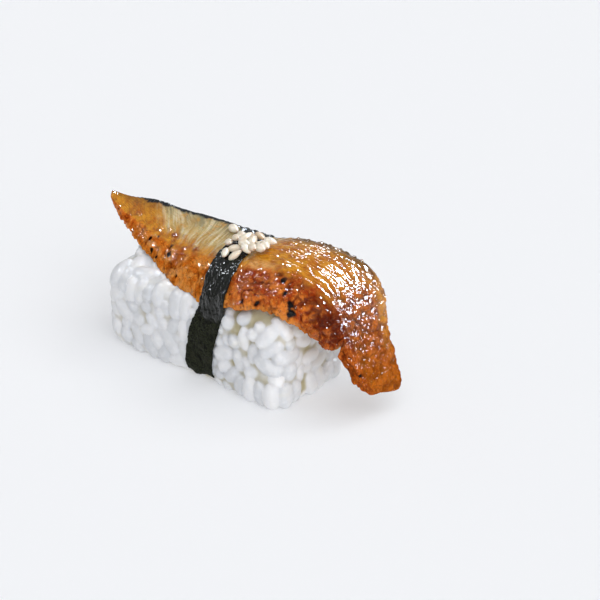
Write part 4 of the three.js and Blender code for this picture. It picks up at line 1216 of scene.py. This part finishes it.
# %% Moist white rice
rice = Recipe("cooked_rice", Roughness=0.42, Specular_IOR_Level=0.2,
              Coat_Weight=0.25, Coat_Roughness=0.25, Coat_IOR=1.4,
              Subsurface_Weight=1.0, Subsurface_Scale=0.002, Subsurface_Radius=(1.0, 0.95, 0.88))
milky = rice.mix(rice.kept("tone"), colour(207, 209, 212), colour(235, 235, 236))
milky = rice.layers(
    milky,
    (rice.ramp(rice.grain(1.6, 3), 0.45, 0.7, 0.0, 0.35), (242, 242, 243)),
    # painted shade: the deeper a point lies, the darker and warmer it is painted
    (rice.ramp(rice.kept("depth_mm"), 0.28, 0.82), (190, 180, 146)),
    (rice.ramp(rice.grain(5.0, 2), 0.55, 0.75, 0.0, 0.25), (232, 226, 206)),
)
rice.set(Base_Color=milky, Normal=rice.dent(rice.grain(0.45, 4, rough=0.65), 0.10, 0.6))
heap = make_piece("rice_heap", rice_points, rice_faces, rice.finish,
                  {"tone": tones_of_grains[owner], "depth_mm": rice_depth})
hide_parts("rice")

# %% [markdown]
# ## The nori: its finish
#
# Dry nori is dark green and dull, with fibres pressed every way. Where it lies on the glaze it has drunk
# sauce: it is nearly black there, and its creases catch sharp little lights. Noise breaks up the border
# between the two.

# %% Seaweed, dry below and wet above
nori = Recipe("nori_sheet", Specular_IOR_Level=0.03, Coat_Roughness=0.05, Coat_IOR=1.38)
weed_fine, weed_coarse = nori.grain(0.3, 5, rough=0.75), nori.grain(1.8, 4)
spread = nori.sums("ADD", nori.kept("wet"), nori.ramp(weed_coarse, 0.3, 0.7, -0.35, 0.35))
wetness = nori.ramp(spread, 0.1, 0.9)
weed = nori.mix(nori.ramp(weed_fine, 0.38, 0.66), colour(10, 11, 7), colour(54, 58, 40))
weed = nori.layers(
    weed,
    (nori.ramp(nori.grain(1.1, 5, rough=0.65), 0.5, 0.62, 0.0, 0.75), (5, 6, 4)),
    (nori.ramp(weed_coarse, 0.5, 0.72, 0.0, 0.6), (46, 47, 30)),
    (nori.ramp(nori.grain(0.5, 3, rough=0.7), 0.66, 0.76, 0.0, 0.5), (104, 98, 52)),
    (nori.both(wetness, 0.8), (5, 6, 5)),
)
wet_share = nori.ramp(wetness, 0.0, 1.0, 0.1, 1.0)
fine_depth = nori.both(weed_fine, nori.ramp(wetness, 0.0, 1.0, 1.0, 0.08))
weed_relief = nori.dent(nori.grain(0.8, 2), 0.22, over=nori.dent(fine_depth, 0.30))
nori.set(Base_Color=weed, Coat_Weight=wet_share, Roughness=nori.ramp(weed_fine, 0.3, 0.7, 0.5, 0.75),
         Normal=weed_relief)
wet = np.broadcast_to(on_fillet, band_x.shape).ravel()
band = make_piece("nori_band", band_points, band_faces, nori.finish, {"wet": np.concatenate([wet, wet])})
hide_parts("nori")

# %% [markdown]
# ## The sesame: laying the seeds
#
# A pinch of seeds was dropped on the crossing, so some lie on nori, some on glaze and some on each other.
# Each seed here is let down over its place until it touches: its underside is compared with the ground
# below it at many spots, and the ground's slope tilts it. The seed then becomes ground for the next one,
# but a seed that meets others only leans on them, so it is never lifted by more than a little.

# %% The shape of a seed
SEED_LENGTH, SEED_WIDTH, SEED_THICK, SEED_SIDES, SEED_RINGS = 3.45, 2.0, 1.5, 24, 18
POINTED, TAPERED, TIP = 0.30, 0.06, 1.04


def seed_pattern():
    """Points and faces of a flat drop from -1 to 1, pointed towards the third axis."""
    turns = np.linspace(0, 2 * np.pi, SEED_SIDES, endpoint=False)
    levels = np.cos(np.linspace(0, np.pi, SEED_RINGS + 1))[1:-1]
    radius = np.sqrt(1 - levels**2) * (1 - POINTED * np.clip(levels, 0, 1)) * (1 - TAPERED * levels)
    ring = np.stack([np.cos(turns), np.sin(turns), np.zeros_like(turns)], -1)
    body = radius[:, None, None] * ring + np.array([0, 0, 1]) * levels[:, None, None]
    points = np.concatenate([body.reshape(-1, 3), [[0, 0, TIP], [0, 0, -1]]])
    sides = grid_faces(len(levels), SEED_SIDES, loop=True).tolist()
    return points, sides + pole_fans(len(levels), SEED_SIDES)


drop, drop_faces = seed_pattern()
seed_size = np.array([SEED_WIDTH, SEED_THICK, SEED_LENGTH]) / 2
print(len(drop), "points in a seed")

# %% Let each seed down over its place
MOST_LIFT, BEDDED, FEEL_AHEAD, FEEL_ASIDE = 0.8, 0.12, 1.1, 0.6
# place along X and Y in millimetres, direction of the pointed end in degrees, and how tan it is from 0 to 1
SEEDS = [
    (-2.7, 5.3, -14, 0.1), (1.4, -0.3, -35, 0.15), (3.9, -3.9, -55, 0.0), (5.3, -2.1, 24, 0.35),
    (2.4, 2.7, -31, 0.3), (5.3, 2.9, -16, 0.7), (7.1, 3.6, -10, 0.8), (2.6, 0.8, -27, 0.4),
    (6.9, -3.9, 47, 0.2), (5.0, 1.2, 81, 0.2), (7.0, -1.0, 0, 0.3), (8.7, 2.0, 56, 0.2),
    (8.4, -2.1, -11, 0.1), (7.6, 0.7, 114, 0.4), (9.4, -1.3, -29, 0.4), (11.1, -0.6, -17, 0.2),
    (11.0, 1.0, -24, 0.3), (10.9, 2.7, 12, 0.1),
]


def ground_height(x, y, grounds):
    """The height of the topmost thing at a place."""
    hits = [tree.ray_cast(Vector((x, y, BEYOND)), Vector((0, 0, -1))) for tree in grounds]
    return max(hit[0].z for hit in hits if hit[0] is not None)


grounds, seed_points, seed_faces, tans = [fillet_tree, tree_of(band_points, band_faces)], [], [], []
for number, (x, y, turn, tan) in enumerate(SEEDS):
    heading = math.radians(turn)
    spot, ahead = np.array([x, y]), np.array([math.cos(heading), math.sin(heading)])
    aside = np.array([-ahead[1], ahead[0]])
    front, rear = (ground_height(*(spot + ahead * reach), grounds[:2]) for reach in (FEEL_AHEAD, -FEEL_AHEAD))
    left, right = (ground_height(*(spot + aside * reach), grounds[:2]) for reach in (FEEL_ASIDE, -FEEL_ASIDE))
    # sines of odd steps, so that no two seeds tilt or grow alike
    front += 0.5 * math.sin(7.3 * number)
    left += 0.3 * math.sin(3.7 * number + 1)
    length_way = unit(np.array([*ahead * 2 * FEEL_AHEAD, front - rear]))
    side_way = unit(np.array([*aside * 2 * FEEL_ASIDE, left - right]))
    up_way = unit(np.cross(length_way, side_way))
    side_way = np.cross(up_way, length_way)
    grown = 1 + 0.08 * math.sin(5.1 * number)
    shape = (drop * seed_size * grown) @ np.stack([side_way, up_way, length_way])
    shape *= 1 + 0.03 * lumps(drop * 1.5 + number * 5.7, 1.0)[:, None]
    below = shape[(shape @ up_way) < -0.15 * SEED_THICK][::4]
    bare, piled = (max(ground_height(x + point[0], y + point[1], under) - point[2] for point in below)
                   for under in (grounds[:2], grounds))
    placed = shape + [x, y, min(piled, bare + MOST_LIFT) - BEDDED]
    grounds.append(tree_of(placed, drop_faces))
    seed_faces.extend([[index + len(drop) * number for index in face] for face in drop_faces])
    seed_points.append(placed)
    tans.append(np.full(len(drop), tan))
highest = max(float(part[:, 2].max()) for part in seed_points)
print(len(SEEDS), "seeds, the highest at", round(highest, 1), "mm")

# %% [markdown]
# ## The sesame: its finish
#
# White sesame is cream with a satin skin, a little tan where it was toasted, mostly towards the pointed
# end.

# %% Cream-white seeds
sesame = Recipe("white_sesame", Roughness=0.42, Subsurface_Weight=0.3, Subsurface_Scale=0.0008,
                Subsurface_Radius=(1.0, 0.7, 0.45))
husk = sesame.mix(sesame.kept("tan"), colour(238, 229, 211), colour(210, 180, 140))
husk = sesame.layers(
    husk,
    (sesame.ramp(sesame.grain(0.7, 3), 0.45, 0.75, 0.0, 0.35), (222, 198, 164)),
    (sesame.both(sesame.ramp(sesame.kept("tip"), 0.72, 1.0), 0.6), (170, 116, 66)),
)
sesame.set(Base_Color=husk, Normal=sesame.dent(sesame.grain(0.3, 2), 0.03, 0.4))
seeds = make_piece("sesame_seeds", np.concatenate(seed_points), seed_faces, sesame.finish,
                   {"tan": np.concatenate(tans), "tip": np.tile(drop[:, 2], len(SEEDS))})
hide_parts("nori", "eel")

# %% [markdown]
# ## The floor and the light
#
# The photograph is bright and almost without shadow. Pale surroundings light the piece from all sides, and
# a soft window behind it, a little to the right, adds faint shadows. Every lamp is a sun with a wide disc,
# which lights the whole floor alike. Wet glaze shows each window as a light on it, so six more suns are
# seen in gloss alone: five stand in a row behind the piece, and the brushed relief breaks their lights into
# streaks along the crease, and one stands in front on the left. Two wide fills light bodies without a
# gloss. The floor is matte and glows a little, which keeps it as pale as the photograph's.

# %% A pale floor
# half its side, in metres
FLOOR_HALF = 3.0
floor_mesh = bpy.data.meshes.new("floor")
floor_mesh.from_pydata([(-FLOOR_HALF, -FLOOR_HALF, 0), (FLOOR_HALF, -FLOOR_HALF, 0),
                        (FLOOR_HALF, FLOOR_HALF, 0), (-FLOOR_HALF, FLOOR_HALF, 0)], [], [(0, 1, 2, 3)])
floor_paint = Recipe("pale_floor", Roughness=0.8, Specular_IOR_Level=0.0,
                     Emission_Color=colour(250, 251, 255), Emission_Strength=0.31)
floor_paint.set(Base_Color=colour(203, 204, 205))
floor_mesh.materials.append(floor_paint.finish)
floor = bpy.data.objects.new("floor", floor_mesh)
bpy.context.scene.collection.objects.link(floor)
print("a floor of", 2 * FLOOR_HALF, "m")

# %% Windows and fills
WINDOW_TINT, PALE_TINT = (0.74, 0.86, 1.0), (0.90, 0.94, 1.0)
# where each light comes from, its strength, the width of its disc in degrees, its colour, and what it lights
LIGHTS = {
    "back_window": ((0.30, 0.62, 0.72), 0.30, 24, (1.0, 0.985, 0.96), "all"),
    "flat_window": ((-0.56, 0.64, 0.52), 0.4, 8, PALE_TINT, "gloss"),
    "glaze_window_left": ((-0.20, 0.58, 0.79), 1.6, 11, WINDOW_TINT, "gloss"),
    "glaze_window": ((0.10, 0.50, 0.86), 6.5, 15, WINDOW_TINT, "gloss"),
    "glaze_window_right": ((0.42, 0.51, 0.75), 4.4, 14, WINDOW_TINT, "gloss"),
    "right_window": ((0.76, 0.48, 0.44), 4.2, 15, (0.78, 0.88, 1.0), "gloss"),
    "left_window": ((-0.60, -0.34, 0.72), 2.2, 9, PALE_TINT, "gloss"),
    "top_fill": ((0.40, 0.05, 0.90), 1.50, 90, (0.99, 0.99, 1.0), "bodies"),
    "side_fill": ((0.84, -0.38, 0.38), 1.15, 60, (1.0, 0.995, 0.99), "bodies"),
}
for name, (way, energy, disc, tint, lights_what) in LIGHTS.items():
    lamp = bpy.data.lights.new(name, "SUN")
    lamp.energy, lamp.angle, lamp.color = energy, math.radians(disc), tint
    lamp_at = bpy.data.objects.new(name, lamp)
    lamp_at.rotation_euler = Vector(way).to_track_quat("Z", "Y").to_euler()
    lamp_at.visible_diffuse = lights_what != "gloss"
    lamp_at.visible_glossy = lights_what != "bodies"
    bpy.context.scene.collection.objects.link(lamp_at)
print(len(LIGHTS), "lights")

# %% Bright surroundings
SKY_COLOUR, SKY_STRENGTH = (0.94, 0.96, 1.0, 1.0), 0.38
surroundings = bpy.data.worlds.new("surroundings")
surroundings.use_nodes = True
sky = surroundings.node_tree.nodes["Background"]
sky.inputs["Color"].default_value = SKY_COLOUR
sky.inputs["Strength"].default_value = SKY_STRENGTH
bpy.context.scene.world = surroundings
bpy.context.scene.view_settings.view_transform = "Standard"
print("surroundings with a strength of", SKY_STRENGTH)

# %% [markdown]
# ## The camera
#
# The photograph looks down on the piece at 28 degrees, past its near right corner, from a little over a
# third of a metre away. The camera aims beside the piece, because in the picture the piece lies left of the
# middle.

# %% The photograph's view
AZIMUTH, ELEVATION = math.radians(43), math.radians(28)
LENS, DISTANCE = 100.0, 370.4
AIM = Vector((7.7, 15.2, 10.9))
level_share = math.cos(ELEVATION)
back = Vector((math.sin(AZIMUTH) * level_share, -math.cos(AZIMUTH) * level_share, math.sin(ELEVATION)))
lens = bpy.data.cameras.new("camera")
lens.lens, lens.sensor_width = LENS, 36.0
lens.clip_start, lens.clip_end = 0.01, 20.0
camera = bpy.data.objects.new("camera", lens)
camera.location = (AIM + back * DISTANCE + Vector(offset)) * MM
camera.rotation_euler = (-back).to_track_quat("-Z", "Y").to_euler()
bpy.context.scene.collection.objects.link(camera)
bpy.context.scene.camera = camera
print("camera at", [round(1000 * value) for value in camera.location], "mm")
